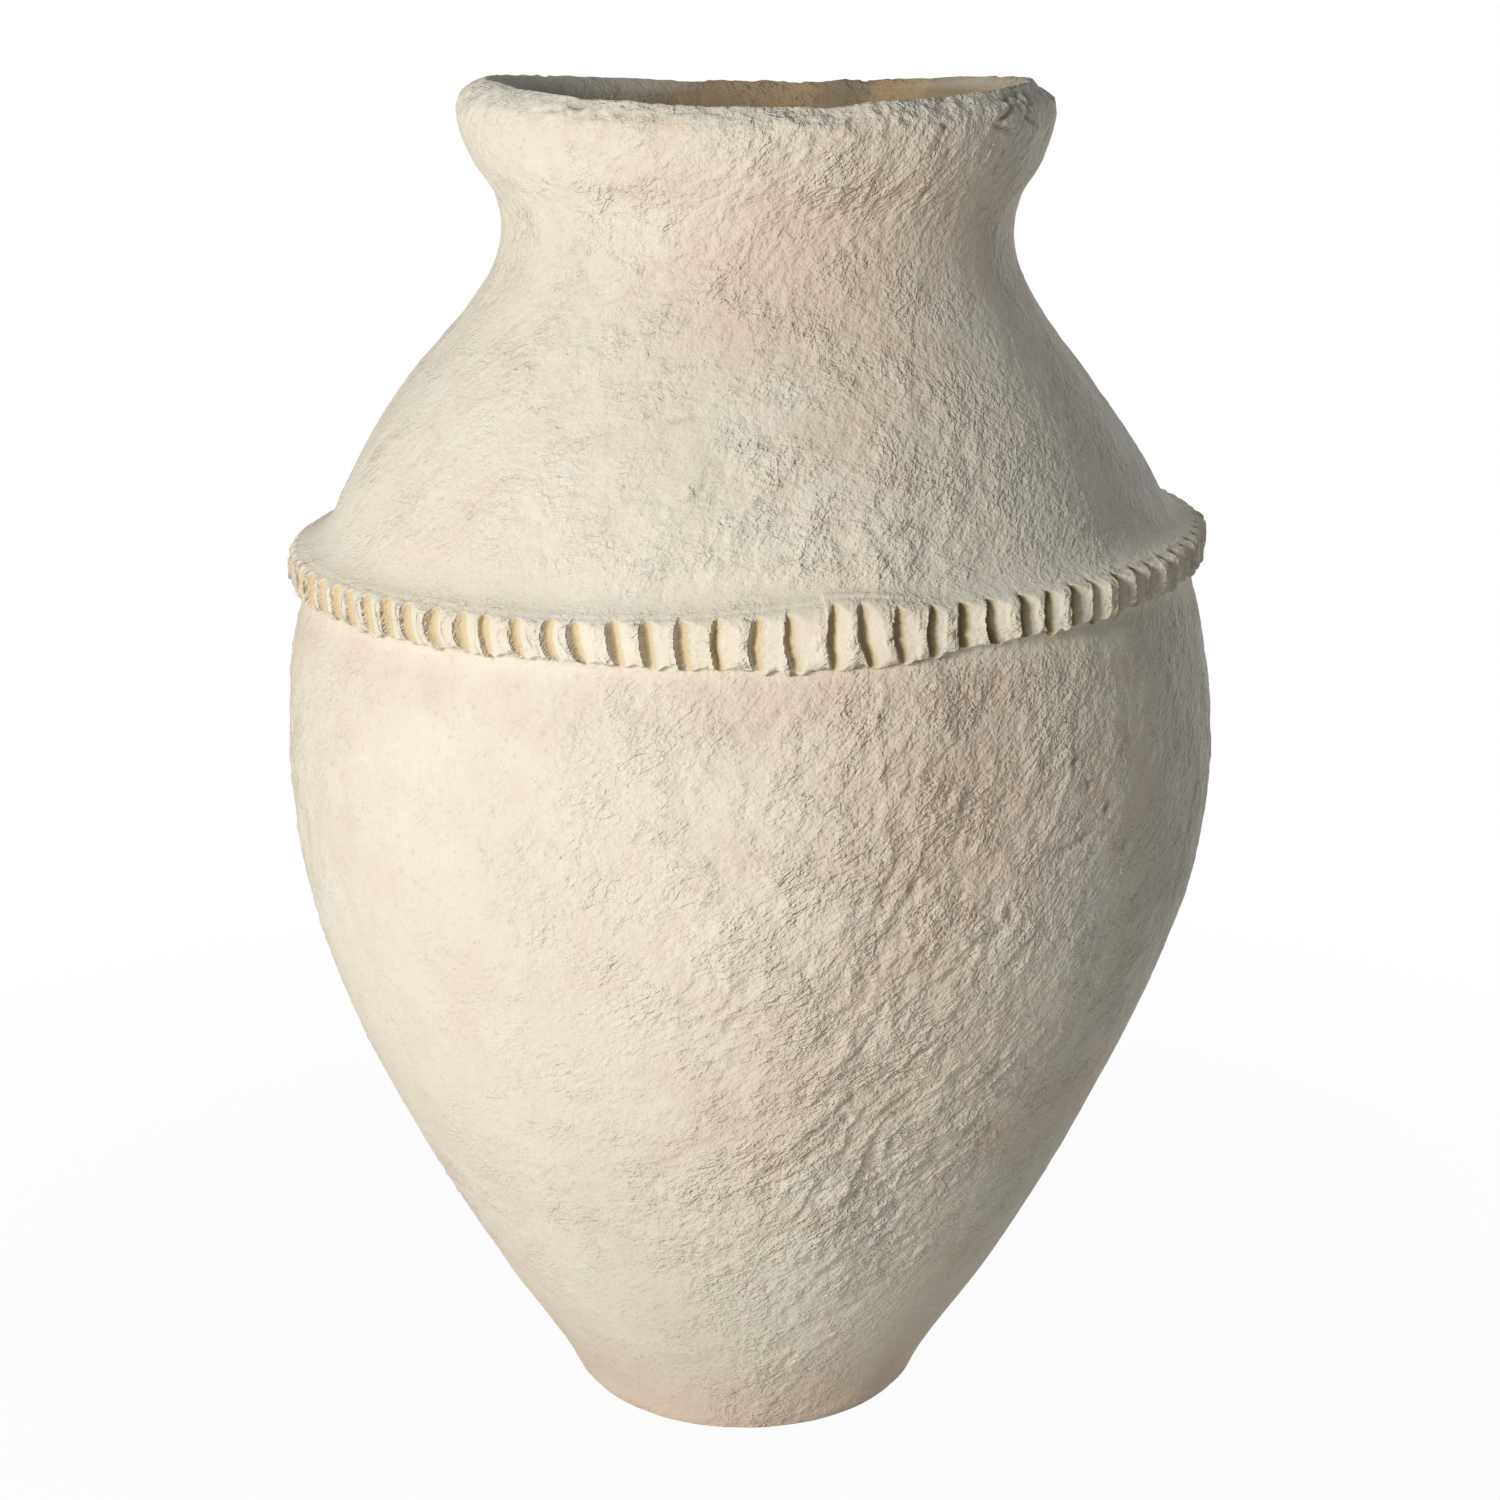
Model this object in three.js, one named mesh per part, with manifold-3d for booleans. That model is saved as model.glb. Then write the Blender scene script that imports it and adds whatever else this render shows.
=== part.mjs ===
// Hand-built earthenware urn: a floor slab, five rounds of coiled wall, a rolled lip,
// and a notched strip laid over the shoulder seam in two lengths.
// Millimetres, +Z up. The origin is on the resting plane, under the middle of the belly.
// Angles run from the front (-Y) towards the right (+X).

import * as THREE from 'three';
import { mergeVertices } from 'three/addons/utils/BufferGeometryUtils.js';
import Module from 'manifold-3d';

// Outline of the wall: each station is this far above the last, with this outer radius
const FOOT_RADIUS = 74.5;
const FLOOR_THICKNESS = 14;
const FLOOR_RADIUS = 81;
const FLANK_RISE = 56;
const FLANK_RADIUS = 116;
const LOWER_JOINT_RISE = 65;
const LOWER_JOINT_RADIUS = 150.2;
const HIP_RISE = 65;
const HIP_RADIUS = 178.3;
const BELLY_JOINT_RISE = 50;
const BELLY_JOINT_RADIUS = 192;
const BELLY_RISE = 50;
const BELLY_RADIUS = 196;
const CROWN_RISE = 40;
const CROWN_RADIUS = 192.3;
const SEAT_RISE = 38;
const SEAT_RADIUS = 181.8;
const SHOULDER_RISE = 42;
const SHOULDER_RADIUS = 161.2;
const COLLAR_RISE = 30;
const COLLAR_RADIUS = 140.6;
const NECK_JOINT_RISE = 28;
const NECK_JOINT_RADIUS = 118;
const THROAT_RISE = 17;
const THROAT_RADIUS = 108;
const NECK_RISE = 16;
const NECK_RADIUS = 104.9;
const FLARE_RISE = 14;
const FLARE_RADIUS = 107.8;
const LIP_JOINT_RISE = 13;
const LIP_JOINT_RADIUS = 116.2;
const LIP_RISE = 19;
const LIP_RADIUS = 122;

// Wall, lip and the foot's lower edge
const WALL_THICKNESS = 11.5;
const LIP_THICKNESS = 20;
const LIP_CROWN = 13;
const FOOT_EDGE_ROUND = 3.5;
const FOOT_EDGE_ARC = 75;

// Joints between the pieces: the slipped bevel falls this far towards the inside
const JOINT_GAP = 0.3;
const BEVEL_DROP = 7;

// Notched strip: how far it stands out from the wall, its face, its rounded edges and the
// ledge that fairs into the shoulder
const BAND_PROUD = 7.5;
const BAND_FACE_HEIGHT = 17;
const BAND_FOOT_DROP = 7;
const BAND_TOP_ROUND = 5;
const BAND_FOOT_ROUND = 3;
const BAND_FOOT_ARC = 75;
const BAND_LEDGE_RISE = 1.5;
const BAND_FILLET_RISE = 10;
const BAND_FEATHER_EDGE = 0.7;

// Marks of the round stick that was pressed into the strip, on a slant from the right, and
// the clay left behind them
const MARK_COUNT = 93;
const STICK_RADIUS = 4.1;
const STICK_LENGTH = 50;
const MARK_WEB = 2.2;
const MARK_WEB_SPREAD = 0.5;
const MARK_LEAN = 6;
const MARK_LEAN_SPREAD = 6;
const MARK_SLANT = 20;
const MARK_PITCH_SPREAD = 0.9;
const MARK_WEB_WANDER = 1.3;
const MARK_LEAN_WANDER = 1.7;
const MARK_PITCH_WANDER = 2.1;
const WANDER_BEAT = 0.37;

// Joins of the two lengths of strip
const FRONT_JOIN_ANGLE = 8.6;
const JOIN_SLANT = 25;
const JOIN_LUMP_RIGHT = 2.6;
const JOIN_LUMP_LEFT = 1.2;
const JOIN_LUMP_LENGTH = 42;

// Hand-built unevenness, given to every piece alike so that they stay seated
const FOOT_OFFSET = -2.2;
const SEAM_OFFSET = -1.5;
const NECK_OFFSET = 3.7;
const LIP_SAG = 6.5;
const SEAM_TILT = 5.2;
const SEAM_TILT_ABOVE = 10;

// Facets
const WALL_SIDES = 54;
const OUTER_STEP = 22;
const INNER_STEP = 45;
const NECK_STEP = 12;
const NECK_INNER_STEP = 24;
const ROUND_STEPS = 2;
const LIP_STEPS = 7;
const STICK_SIDES = 8;
const WELD_DISTANCE = 1e-4;

const wasm = await Module();
wasm.setup();

const { degToRad, smoothstep } = THREE.MathUtils;

// Stations of the outline, as heights above the resting plane

const stations = [{ height: 0, radius: FOOT_RADIUS }];

function addStation(rise, radius) {
  const height = stations.at(-1).height + rise;
  stations.push({ height, radius });
  return height;
}

addStation(FLOOR_THICKNESS, FLOOR_RADIUS);
addStation(FLANK_RISE, FLANK_RADIUS);
const LOWER_JOINT_HEIGHT = addStation(LOWER_JOINT_RISE, LOWER_JOINT_RADIUS);
addStation(HIP_RISE, HIP_RADIUS);
const BELLY_JOINT_HEIGHT = addStation(BELLY_JOINT_RISE, BELLY_JOINT_RADIUS);
const BELLY_HEIGHT = addStation(BELLY_RISE, BELLY_RADIUS);
addStation(CROWN_RISE, CROWN_RADIUS);
const SEAT_HEIGHT = addStation(SEAT_RISE, SEAT_RADIUS);
const SHOULDER_HEIGHT = addStation(SHOULDER_RISE, SHOULDER_RADIUS);
const COLLAR_HEIGHT = addStation(COLLAR_RISE, COLLAR_RADIUS);
const NECK_JOINT_HEIGHT = addStation(NECK_JOINT_RISE, NECK_JOINT_RADIUS);
addStation(THROAT_RISE, THROAT_RADIUS);
const NECK_HEIGHT = addStation(NECK_RISE, NECK_RADIUS);
addStation(FLARE_RISE, FLARE_RADIUS);
const LIP_JOINT_HEIGHT = addStation(LIP_JOINT_RISE, LIP_JOINT_RADIUS);
const LIP_HEIGHT = addStation(LIP_RISE, LIP_RADIUS);
const TOTAL_HEIGHT = LIP_HEIGHT + LIP_CROWN;

// Slope of the outline at each station, from its two neighbours

const chordSlope = stations.slice(1).map((upper, i) => (
  (upper.radius - stations[i].radius) / (upper.height - stations[i].height)
));

const stationSlope = stations.map((station, i) => {
  if (i === 0) return chordSlope[0];
  if (i === stations.length - 1) return 0;
  const below = station.height - stations[i - 1].height;
  const above = stations[i + 1].height - station.height;
  return (chordSlope[i - 1] * above + chordSlope[i] * below) / (below + above);
});

// Outer radius and slope at any height: a cubic through the stations

function outline(height) {
  const last = stations.length - 2;
  let i = stations.findIndex((station) => station.height > height) - 1;
  if (i < 0) i = height < 0 ? 0 : last;
  const low = stations[i];
  const high = stations[i + 1];
  const span = high.height - low.height;
  const t = (height - low.height) / span;
  const radius = low.radius * (2 * t ** 3 - 3 * t ** 2 + 1)
    + high.radius * (3 * t ** 2 - 2 * t ** 3)
    + span * stationSlope[i] * (t ** 3 - 2 * t ** 2 + t)
    + span * stationSlope[i + 1] * (t ** 3 - t ** 2);
  const slope = (high.radius - low.radius) / span * (6 * t - 6 * t ** 2)
    + stationSlope[i] * (3 * t ** 2 - 4 * t + 1)
    + stationSlope[i + 1] * (3 * t ** 2 - 2 * t);
  return { radius, slope };
}

function outerPoint(height) {
  return new THREE.Vector2(outline(height).radius, height);
}

// The wall keeps its thickness square to the outline and thickens above the neck

function innerPoint(height) {
  const { radius, slope } = outline(height);
  const share = Math.max(0, (height - NECK_HEIGHT) / (LIP_HEIGHT - NECK_HEIGHT));
  const thickness = WALL_THICKNESS + (LIP_THICKNESS - WALL_THICKNESS) * Math.min(share, 1);
  return new THREE.Vector2(radius - thickness * Math.hypot(1, slope), height);
}

function heightsBetween(from, to, step) {
  const count = Math.max(1, Math.round(Math.abs(to - from) / step));
  return Array.from({ length: count + 1 }, (_, i) => from + (to - from) * i / count);
}

function arc(centreRadius, centreHeight, radiusAcross, radiusUp, fromDegrees, toDegrees, steps) {
  return Array.from({ length: steps + 1 }, (_, i) => {
    const angle = degToRad(fromDegrees + (toDegrees - fromDegrees) * i / steps);
    return new THREE.Vector2(
      centreRadius + radiusAcross * Math.cos(angle),
      centreHeight + radiusUp * Math.sin(angle),
    );
  });
}

// A profile, listed anticlockwise with the axis on its left, turned round the axis

function revolve(profile, sides) {
  const turned = new THREE.LatheGeometry(profile, sides);
  turned.rotateX(Math.PI / 2);
  return weld(turned);
}

function weld(geometry) {
  geometry.deleteAttribute('normal');
  geometry.deleteAttribute('uv');
  return mergeVertices(geometry, WELD_DISTANCE);
}

// The hand-built unevenness: the lip sags to front and back, the strip and its seam climb
// to the right, and foot, seam and neck are each a little off the belly's middle. The foot
// stays flat.

function middleAt(height) {
  const foot = 1 - smoothstep(height, LOWER_JOINT_HEIGHT, BELLY_HEIGHT);
  const seam = smoothstep(height, BELLY_HEIGHT, SEAT_HEIGHT)
    * (1 - smoothstep(height, SHOULDER_HEIGHT, NECK_HEIGHT));
  const neck = smoothstep(height, SHOULDER_HEIGHT, LIP_JOINT_HEIGHT);
  return FOOT_OFFSET * foot + SEAM_OFFSET * seam + NECK_OFFSET * neck;
}

function unevenness(point) {
  const { x, y, z } = point;
  const across = x * x + y * y;
  const towardsFront = across > 0 ? y * y / across : 0;
  const sag = LIP_SAG * towardsFront * smoothstep(z, NECK_HEIGHT, TOTAL_HEIGHT);
  const nearSeam = smoothstep(z, BELLY_HEIGHT, SEAT_HEIGHT)
    * (1 - smoothstep(z, SEAT_HEIGHT + SEAM_TILT_ABOVE, COLLAR_HEIGHT));
  const climb = SEAM_TILT * nearSeam * x / BAND_CREST_RADIUS;
  return point.set(x + middleAt(z), y, z - sag + climb);
}

function makeUneven(geometry) {
  const places = geometry.attributes.position;
  const point = new THREE.Vector3();
  for (let i = 0; i < places.count; i += 1) {
    unevenness(point.fromBufferAttribute(places, i));
    places.setXYZ(i, point.x, point.y, point.z);
  }
  return geometry;
}

// Solids for the cuts in the strip

function toSolid(geometry) {
  return new wasm.Manifold(new wasm.Mesh({
    numProp: 3,
    vertProperties: new Float32Array(geometry.attributes.position.array),
    triVerts: new Uint32Array(geometry.index.array),
  }));
}

function toGeometry(solid) {
  const { vertProperties, triVerts } = solid.getMesh();
  const geometry = new THREE.BufferGeometry();
  geometry.setAttribute('position', new THREE.BufferAttribute(vertProperties, 3));
  geometry.setIndex(new THREE.BufferAttribute(triVerts, 1));
  return geometry;
}

// Floor: a disc with a rounded lower edge, whose rim carries on the wall's flare

function floorSlab() {
  const edge = arc(
    FOOT_RADIUS - FOOT_EDGE_ROUND, FOOT_EDGE_ROUND,
    FOOT_EDGE_ROUND, FOOT_EDGE_ROUND, -90, FOOT_EDGE_ARC - 90, ROUND_STEPS,
  );
  const profile = [
    new THREE.Vector2(0, 0),
    ...edge,
    outerPoint(FLOOR_THICKNESS),
    new THREE.Vector2(0, FLOOR_THICKNESS),
  ];
  return revolve(profile, WALL_SIDES);
}

// One round of wall between two joints, each given by its outer height and inward drop

function wallRound(lower, upper, outerStep, innerStep) {
  const halfGap = JOINT_GAP / 2;
  const outer = heightsBetween(lower.height + halfGap, upper.height - halfGap, outerStep);
  const inner = heightsBetween(
    upper.height - upper.drop - halfGap, lower.height - lower.drop + halfGap, innerStep,
  );
  const loop = [...outer.map(outerPoint), ...inner.map(innerPoint)];
  return revolve([...loop, loop[0]], WALL_SIDES);
}

// Lip: the last coil, turned out and rounded over to a half-oval crown

function rimRoll(joint) {
  const halfGap = JOINT_GAP / 2;
  const outer = heightsBetween(joint.height + halfGap, LIP_HEIGHT, NECK_STEP);
  const innerEdge = innerPoint(LIP_HEIGHT).x;
  const crown = arc(
    (LIP_RADIUS + innerEdge) / 2, LIP_HEIGHT,
    (LIP_RADIUS - innerEdge) / 2, LIP_CROWN, 0, 180, LIP_STEPS,
  );
  const inner = heightsBetween(LIP_HEIGHT, joint.height - joint.drop + halfGap, NECK_STEP);
  const loop = [
    ...outer.slice(0, -1).map(outerPoint),
    ...crown,
    ...inner.slice(1).map(innerPoint),
  ];
  return revolve([...loop, loop[0]], WALL_SIDES);
}

// Strip section, bedded on the wall: rounded foot, upright face, rounded top edge, then a
// ledge that fairs into the shoulder. The chords of the inner side clear the wall too.

const BAND_FOOT_HEIGHT = SEAT_HEIGHT - BAND_FOOT_DROP;
const BAND_CREST_RADIUS = outline(BAND_FOOT_HEIGHT).radius + BAND_PROUD;
const BAND_MIDDLE_HEIGHT = BAND_FOOT_HEIGHT + BAND_FACE_HEIGHT / 2;
const BAND_TOP_HEIGHT = BAND_FOOT_HEIGHT + BAND_FACE_HEIGHT;
const BAND_FAIR_HEIGHT = BAND_TOP_HEIGHT + BAND_LEDGE_RISE + BAND_FILLET_RISE;

function beddedPoint(height) {
  const onWall = outerPoint(height);
  onWall.x = (onWall.x + JOINT_GAP) / Math.cos(Math.PI / MARK_COUNT);
  return onWall;
}

function bandSection() {
  const foot = arc(
    BAND_CREST_RADIUS - BAND_FOOT_ROUND, BAND_FOOT_HEIGHT + BAND_FOOT_ROUND,
    BAND_FOOT_ROUND, BAND_FOOT_ROUND, -BAND_FOOT_ARC, 0, ROUND_STEPS - 1,
  );
  const top = arc(
    BAND_CREST_RADIUS - BAND_TOP_ROUND, BAND_TOP_HEIGHT - BAND_TOP_ROUND,
    BAND_TOP_ROUND, BAND_TOP_ROUND, 0, 90, ROUND_STEPS,
  );
  const feather = beddedPoint(BAND_FAIR_HEIGHT);
  feather.x += BAND_FEATHER_EDGE;
  const ledgeStart = top.at(-1);
  const ledgeCorner = beddedPoint(BAND_TOP_HEIGHT + BAND_LEDGE_RISE);
  const fair = new THREE.CubicBezierCurve(
    ledgeStart,
    new THREE.Vector2(
      (ledgeStart.x + ledgeCorner.x) / 2,
      BAND_TOP_HEIGHT + BAND_LEDGE_RISE / 2,
    ),
    ledgeCorner,
    feather,
  ).getPoints(ROUND_STEPS);
  const bed = [
    BAND_FAIR_HEIGHT,
    SEAT_HEIGHT,
    BAND_FOOT_HEIGHT,
  ].map(beddedPoint);
  return [...foot, ...top, ...fair.slice(1), ...bed];
}

// The ring of strip before it is notched. One side runs from mark to mark, with its
// corners at the crests. Its top swells near the front join.

const MARK_PITCH_DEGREES = 360 / MARK_COUNT;

function bandBlank(lump) {
  const loop = bandSection();
  const ring = revolve([...loop, loop[0]], MARK_COUNT);
  ring.rotateZ(degToRad(FRONT_JOIN_ANGLE + MARK_PITCH_DEGREES / 2));
  const places = ring.attributes.position;
  for (let i = 0; i < places.count; i += 1) {
    const x = places.getX(i);
    const y = places.getY(i);
    const z = places.getZ(i);
    const fromJoin = Math.atan2(x, -y) - degToRad(FRONT_JOIN_ANGLE);
    const distance = Math.abs(fromJoin) * BAND_CREST_RADIUS;
    const swell = lump * (1 - smoothstep(distance, 0, JOIN_LUMP_LENGTH));
    const upFace = smoothstep(z, BAND_MIDDLE_HEIGHT, BAND_TOP_HEIGHT);
    const outFromBed = smoothstep(Math.hypot(x, y) - beddedPoint(z).x, 0, BAND_PROUD);
    places.setZ(i, z + swell * upFace * outFromBed);
  }
  return toSolid(ring);
}

// A steady, repeatable wander for each mark, between -1 and 1, and none at the joins

const BACK_JOIN_MARK = Math.floor(MARK_COUNT / 2);

function wander(mark, rate) {
  const atJoin = mark === 0 || mark === BACK_JOIN_MARK;
  return atJoin ? 0 : Math.sin(mark * rate) * Math.cos(mark * rate * WANDER_BEAT);
}

// The stick, laid against the strip where a mark goes and leaning a little. Pressed in on a
// slant, it leaves a steep side on the left of the mark and a ramp on the right.

function stickAt(mark) {
  const halfSide = Math.PI / STICK_SIDES;
  const cornerRadius = STICK_RADIUS / Math.cos(halfSide);
  const stick = weld(new THREE.CylinderGeometry(
    cornerRadius, cornerRadius, STICK_LENGTH, STICK_SIDES,
  ));
  const slip = wander(mark, MARK_PITCH_WANDER) * MARK_PITCH_SPREAD / BAND_CREST_RADIUS;
  const angle = degToRad(FRONT_JOIN_ANGLE + mark * MARK_PITCH_DEGREES) + slip;
  const lean = MARK_LEAN + wander(mark, MARK_LEAN_WANDER) * MARK_LEAN_SPREAD;
  const web = MARK_WEB + wander(mark, MARK_WEB_WANDER) * MARK_WEB_SPREAD;
  const reach = BAND_CREST_RADIUS - BAND_PROUD + web + STICK_RADIUS;
  const slant = Math.tan(degToRad(MARK_SLANT));
  stick.rotateY(halfSide);
  stick.rotateX(Math.PI / 2);
  stick.applyMatrix4(new THREE.Matrix4().makeShear(0, 0, -slant, 0, 0, 0));
  stick.rotateY(-degToRad(lean));
  stick.translate(0, -reach, BAND_MIDDLE_HEIGHT);
  stick.rotateZ(angle);
  return toSolid(stick);
}

// Plan of one length of strip, from one join round to the other, as a tall prism. The
// joins are cut on a slant, half a gap short of their middle.

function joinCorner(angleDegrees, radius, gapSide) {
  const angle = degToRad(angleDegrees);
  const middle = BAND_CREST_RADIUS - BAND_PROUD + MARK_WEB;
  const along = Math.tan(degToRad(JOIN_SLANT)) * (radius - middle);
  const sideways = along + gapSide * JOINT_GAP / 2 / Math.cos(degToRad(JOIN_SLANT));
  return new THREE.Vector2(
    radius * Math.sin(angle) + sideways * Math.cos(angle),
    -radius * Math.cos(angle) + sideways * Math.sin(angle),
  );
}

function lengthPlan(fromDegrees, toDegrees) {
  const near = SEAT_RADIUS / 2;
  const far = BAND_CREST_RADIUS * 2;
  const middle = degToRad((fromDegrees + toDegrees) / 2);
  const outward = new THREE.Vector2(Math.sin(middle), -Math.cos(middle));
  const start = joinCorner(fromDegrees, far, 1);
  const end = joinCorner(toDegrees, far, -1);
  const plan = new THREE.Shape([
    joinCorner(fromDegrees, near, 1),
    start,
    start.clone().addScaledVector(outward, far),
    end.clone().addScaledVector(outward, far),
    end,
    joinCorner(toDegrees, near, -1),
  ]);
  const prism = new THREE.ExtrudeGeometry(plan, { depth: TOTAL_HEIGHT, bevelEnabled: false });
  return toSolid(weld(prism));
}

function bandStrips() {
  const sticks = Array.from({ length: MARK_COUNT }, (_, mark) => stickAt(mark));
  const marks = wasm.Manifold.union(sticks);
  const front = FRONT_JOIN_ANGLE;
  const back = FRONT_JOIN_ANGLE + BACK_JOIN_MARK * MARK_PITCH_DEGREES;
  const right = bandBlank(JOIN_LUMP_RIGHT).subtract(marks).intersect(lengthPlan(front, back));
  const left = bandBlank(JOIN_LUMP_LEFT).subtract(marks).intersect(lengthPlan(back, front + 360));
  return { left: toGeometry(left), right: toGeometry(right) };
}

// Finishes

const limeCoat = new THREE.MeshStandardMaterial({ color: 0xe7ddc8, roughness: 0.95, metalness: 0 });
const bandCoat = new THREE.MeshStandardMaterial({ color: 0xece3cd, roughness: 0.95, metalness: 0 });
const rawClay = new THREE.MeshStandardMaterial({ color: 0xb59a76, roughness: 1, metalness: 0 });

// The urn

const urn = new THREE.Group();

function add(name, geometry, material) {
  const mesh = new THREE.Mesh(makeUneven(geometry), material);
  mesh.name = name;
  urn.add(mesh);
}

const floorJoint = { height: FLOOR_THICKNESS + JOINT_GAP / 2, drop: 0 };
const lowerJoint = { height: LOWER_JOINT_HEIGHT, drop: BEVEL_DROP };
const bellyJoint = { height: BELLY_JOINT_HEIGHT, drop: BEVEL_DROP };
const seamJoint = { height: SEAT_HEIGHT, drop: BEVEL_DROP };
const neckJoint = { height: NECK_JOINT_HEIGHT, drop: BEVEL_DROP };
const lipJoint = { height: LIP_JOINT_HEIGHT, drop: BEVEL_DROP };
const strips = bandStrips();

add('floor_slab', floorSlab(), rawClay);
add('lower_wall', wallRound(floorJoint, lowerJoint, OUTER_STEP, INNER_STEP), limeCoat);
add('belly_wall_lower', wallRound(lowerJoint, bellyJoint, OUTER_STEP, INNER_STEP), limeCoat);
add('belly_wall_upper', wallRound(bellyJoint, seamJoint, OUTER_STEP, INNER_STEP), limeCoat);
add('shoulder_wall', wallRound(seamJoint, neckJoint, OUTER_STEP, INNER_STEP), limeCoat);
add('neck_wall', wallRound(neckJoint, lipJoint, NECK_STEP, NECK_INNER_STEP), limeCoat);
add('rim_roll', rimRoll(lipJoint), limeCoat);
add('band_strip_left', strips.left, bandCoat);
add('band_strip_right', strips.right, bandCoat);

export default urn;
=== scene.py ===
# %% [markdown]
# # A hand-built urn under a rough lime coat
#
# The real urn is coarse earthenware. The potter beats out a flat floor, coils the wall up in rounds and
# lets each round stiffen before the next, adds a thick coil for the lip, and lays a strip over the seam
# at the shoulder, which is notched all round with a stick. After the firing the outside is rubbed with a
# thick lime wash by hand. The inside stays bare clay.
#
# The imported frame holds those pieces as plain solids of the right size. This script puts a closed,
# finely modelled piece over each of them, in the same place.

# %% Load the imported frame
import math

import bmesh
import bpy
import numpy as np
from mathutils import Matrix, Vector


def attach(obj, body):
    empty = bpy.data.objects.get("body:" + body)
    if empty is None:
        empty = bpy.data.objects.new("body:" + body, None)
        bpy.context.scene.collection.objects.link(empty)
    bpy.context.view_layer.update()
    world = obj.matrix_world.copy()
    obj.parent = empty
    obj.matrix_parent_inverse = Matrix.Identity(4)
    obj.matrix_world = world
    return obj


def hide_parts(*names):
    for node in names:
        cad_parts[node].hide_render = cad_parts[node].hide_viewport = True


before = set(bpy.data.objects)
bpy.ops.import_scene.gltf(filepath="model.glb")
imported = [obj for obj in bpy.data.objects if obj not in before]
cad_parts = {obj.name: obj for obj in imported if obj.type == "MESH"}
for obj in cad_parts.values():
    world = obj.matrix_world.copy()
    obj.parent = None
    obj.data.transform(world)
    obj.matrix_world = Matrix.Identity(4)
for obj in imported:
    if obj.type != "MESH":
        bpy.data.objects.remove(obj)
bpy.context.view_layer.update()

MM = 0.001

# %% [markdown]
# ## The outline
#
# A pot is turned or coiled round an axis, so its shape is one outline swung round that axis. A few
# stations are enough, because a smooth cubic runs through them. The same stations are the driving sizes
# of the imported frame, so the pieces made from them fall exactly on it.

# %% Outline of the wall: height above the resting plane and outer radius, in millimetres
FOOT = (0, 74.5)
FLOOR_TOP = (14, 81)
FLANK = (70, 116)
LOWER_JOINT = (135, 150.2)
HIP = (200, 178.3)
BELLY_JOINT = (250, 192)
BELLY = (300, 196)
CROWN = (340, 192.3)
SEAT = (378, 181.8)
SHOULDER = (420, 161.2)
COLLAR = (450, 140.6)
NECK_JOINT = (478, 118)
THROAT = (495, 108)
NECK = (511, 104.9)
FLARE = (525, 107.8)
LIP_JOINT = (538, 116.2)
LIP = (557, 122)
STATIONS = [FOOT, FLOOR_TOP, FLANK, LOWER_JOINT, HIP, BELLY_JOINT, BELLY, CROWN, SEAT,
            SHOULDER, COLLAR, NECK_JOINT, THROAT, NECK, FLARE, LIP_JOINT, LIP]
WALL_THICKNESS = 11.5
LIP_THICKNESS = 20.0
LIP_CROWN = 13.0
TOTAL_HEIGHT = LIP[0] + LIP_CROWN
BEVEL_DROP = 7.0

station_height, station_radius = np.array(STATIONS, float).T
rise = np.diff(station_height)
chord = np.diff(station_radius) / rise
inner_slopes = (chord[:-1] * rise[1:] + chord[1:] * rise[:-1]) / (rise[1:] + rise[:-1])
station_slope = np.concatenate([[chord[0]], inner_slopes, [0.0]])


def outline(height):
    """Outer radius and slope of the wall at each height, in millimetres."""
    height = np.asarray(height, float)
    low = np.clip(np.searchsorted(station_height, height, side="right") - 1, 0, len(rise) - 1)
    t = (height - station_height[low]) / rise[low]
    radius = (station_radius[low] * (2 * t**3 - 3 * t**2 + 1)
              + station_radius[low + 1] * (3 * t**2 - 2 * t**3)
              + rise[low] * station_slope[low] * (t**3 - 2 * t**2 + t)
              + rise[low] * station_slope[low + 1] * (t**3 - t**2))
    slope = (chord[low] * (6 * t - 6 * t**2)
             + station_slope[low] * (3 * t**2 - 4 * t + 1)
             + station_slope[low + 1] * (3 * t**2 - 2 * t))
    return radius, slope


print("outer radius at the belly and the neck, mm:", outline([BELLY[0], NECK[0]])[0])

# %% [markdown]
# ## Hand-built unevenness
#
# Nothing on this pot is quite true. The lip sags to the front and the back, the seam with its strip
# climbs to the right, and the foot, the seam and the neck are each a little off the middle of the belly.
# Every piece gets the same gentle warp, so that all of them stay seated on each other.

# %% The warp that all pieces share
FOOT_OFFSET = -2.2
SEAM_OFFSET = -1.5
NECK_OFFSET = 3.7
LIP_SAG = 6.5
SEAM_TILT = 5.2
SEAM_TILT_ABOVE = 10
STRIP_FOOT_HEIGHT = SEAT[0] - 7
STRIP_PROUD = 7.5
STRIP_FACE = 17.0
CREST_RADIUS = float(outline(STRIP_FOOT_HEIGHT)[0]) + STRIP_PROUD


def smooth(value, low, high):
    """0 below low, 1 above high and an easy curve between them."""
    t = np.clip((value - low) / (high - low), 0, 1)
    return t * t * (3 - 2 * t)


def uneven(places):
    """Moves places, in millimetres, as the whole hand-built pot is warped."""
    x, y, z = places.T
    foot = 1 - smooth(z, LOWER_JOINT[0], BELLY[0])
    seam = smooth(z, BELLY[0], SEAT[0]) * (1 - smooth(z, SHOULDER[0], NECK[0]))
    neck = smooth(z, SHOULDER[0], LIP_JOINT[0])
    middle = FOOT_OFFSET * foot + SEAM_OFFSET * seam + NECK_OFFSET * neck
    towards_front = y**2 / np.maximum(x**2 + y**2, 1e-9)
    sag = LIP_SAG * towards_front * smooth(z, NECK[0], TOTAL_HEIGHT)
    near_seam = smooth(z, BELLY[0], SEAT[0]) * (1 - smooth(z, SEAT[0] + SEAM_TILT_ABOVE, COLLAR[0]))
    climb = SEAM_TILT * near_seam * x / CREST_RADIUS
    return np.column_stack([x + middle, y, z - sag + climb])


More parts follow.
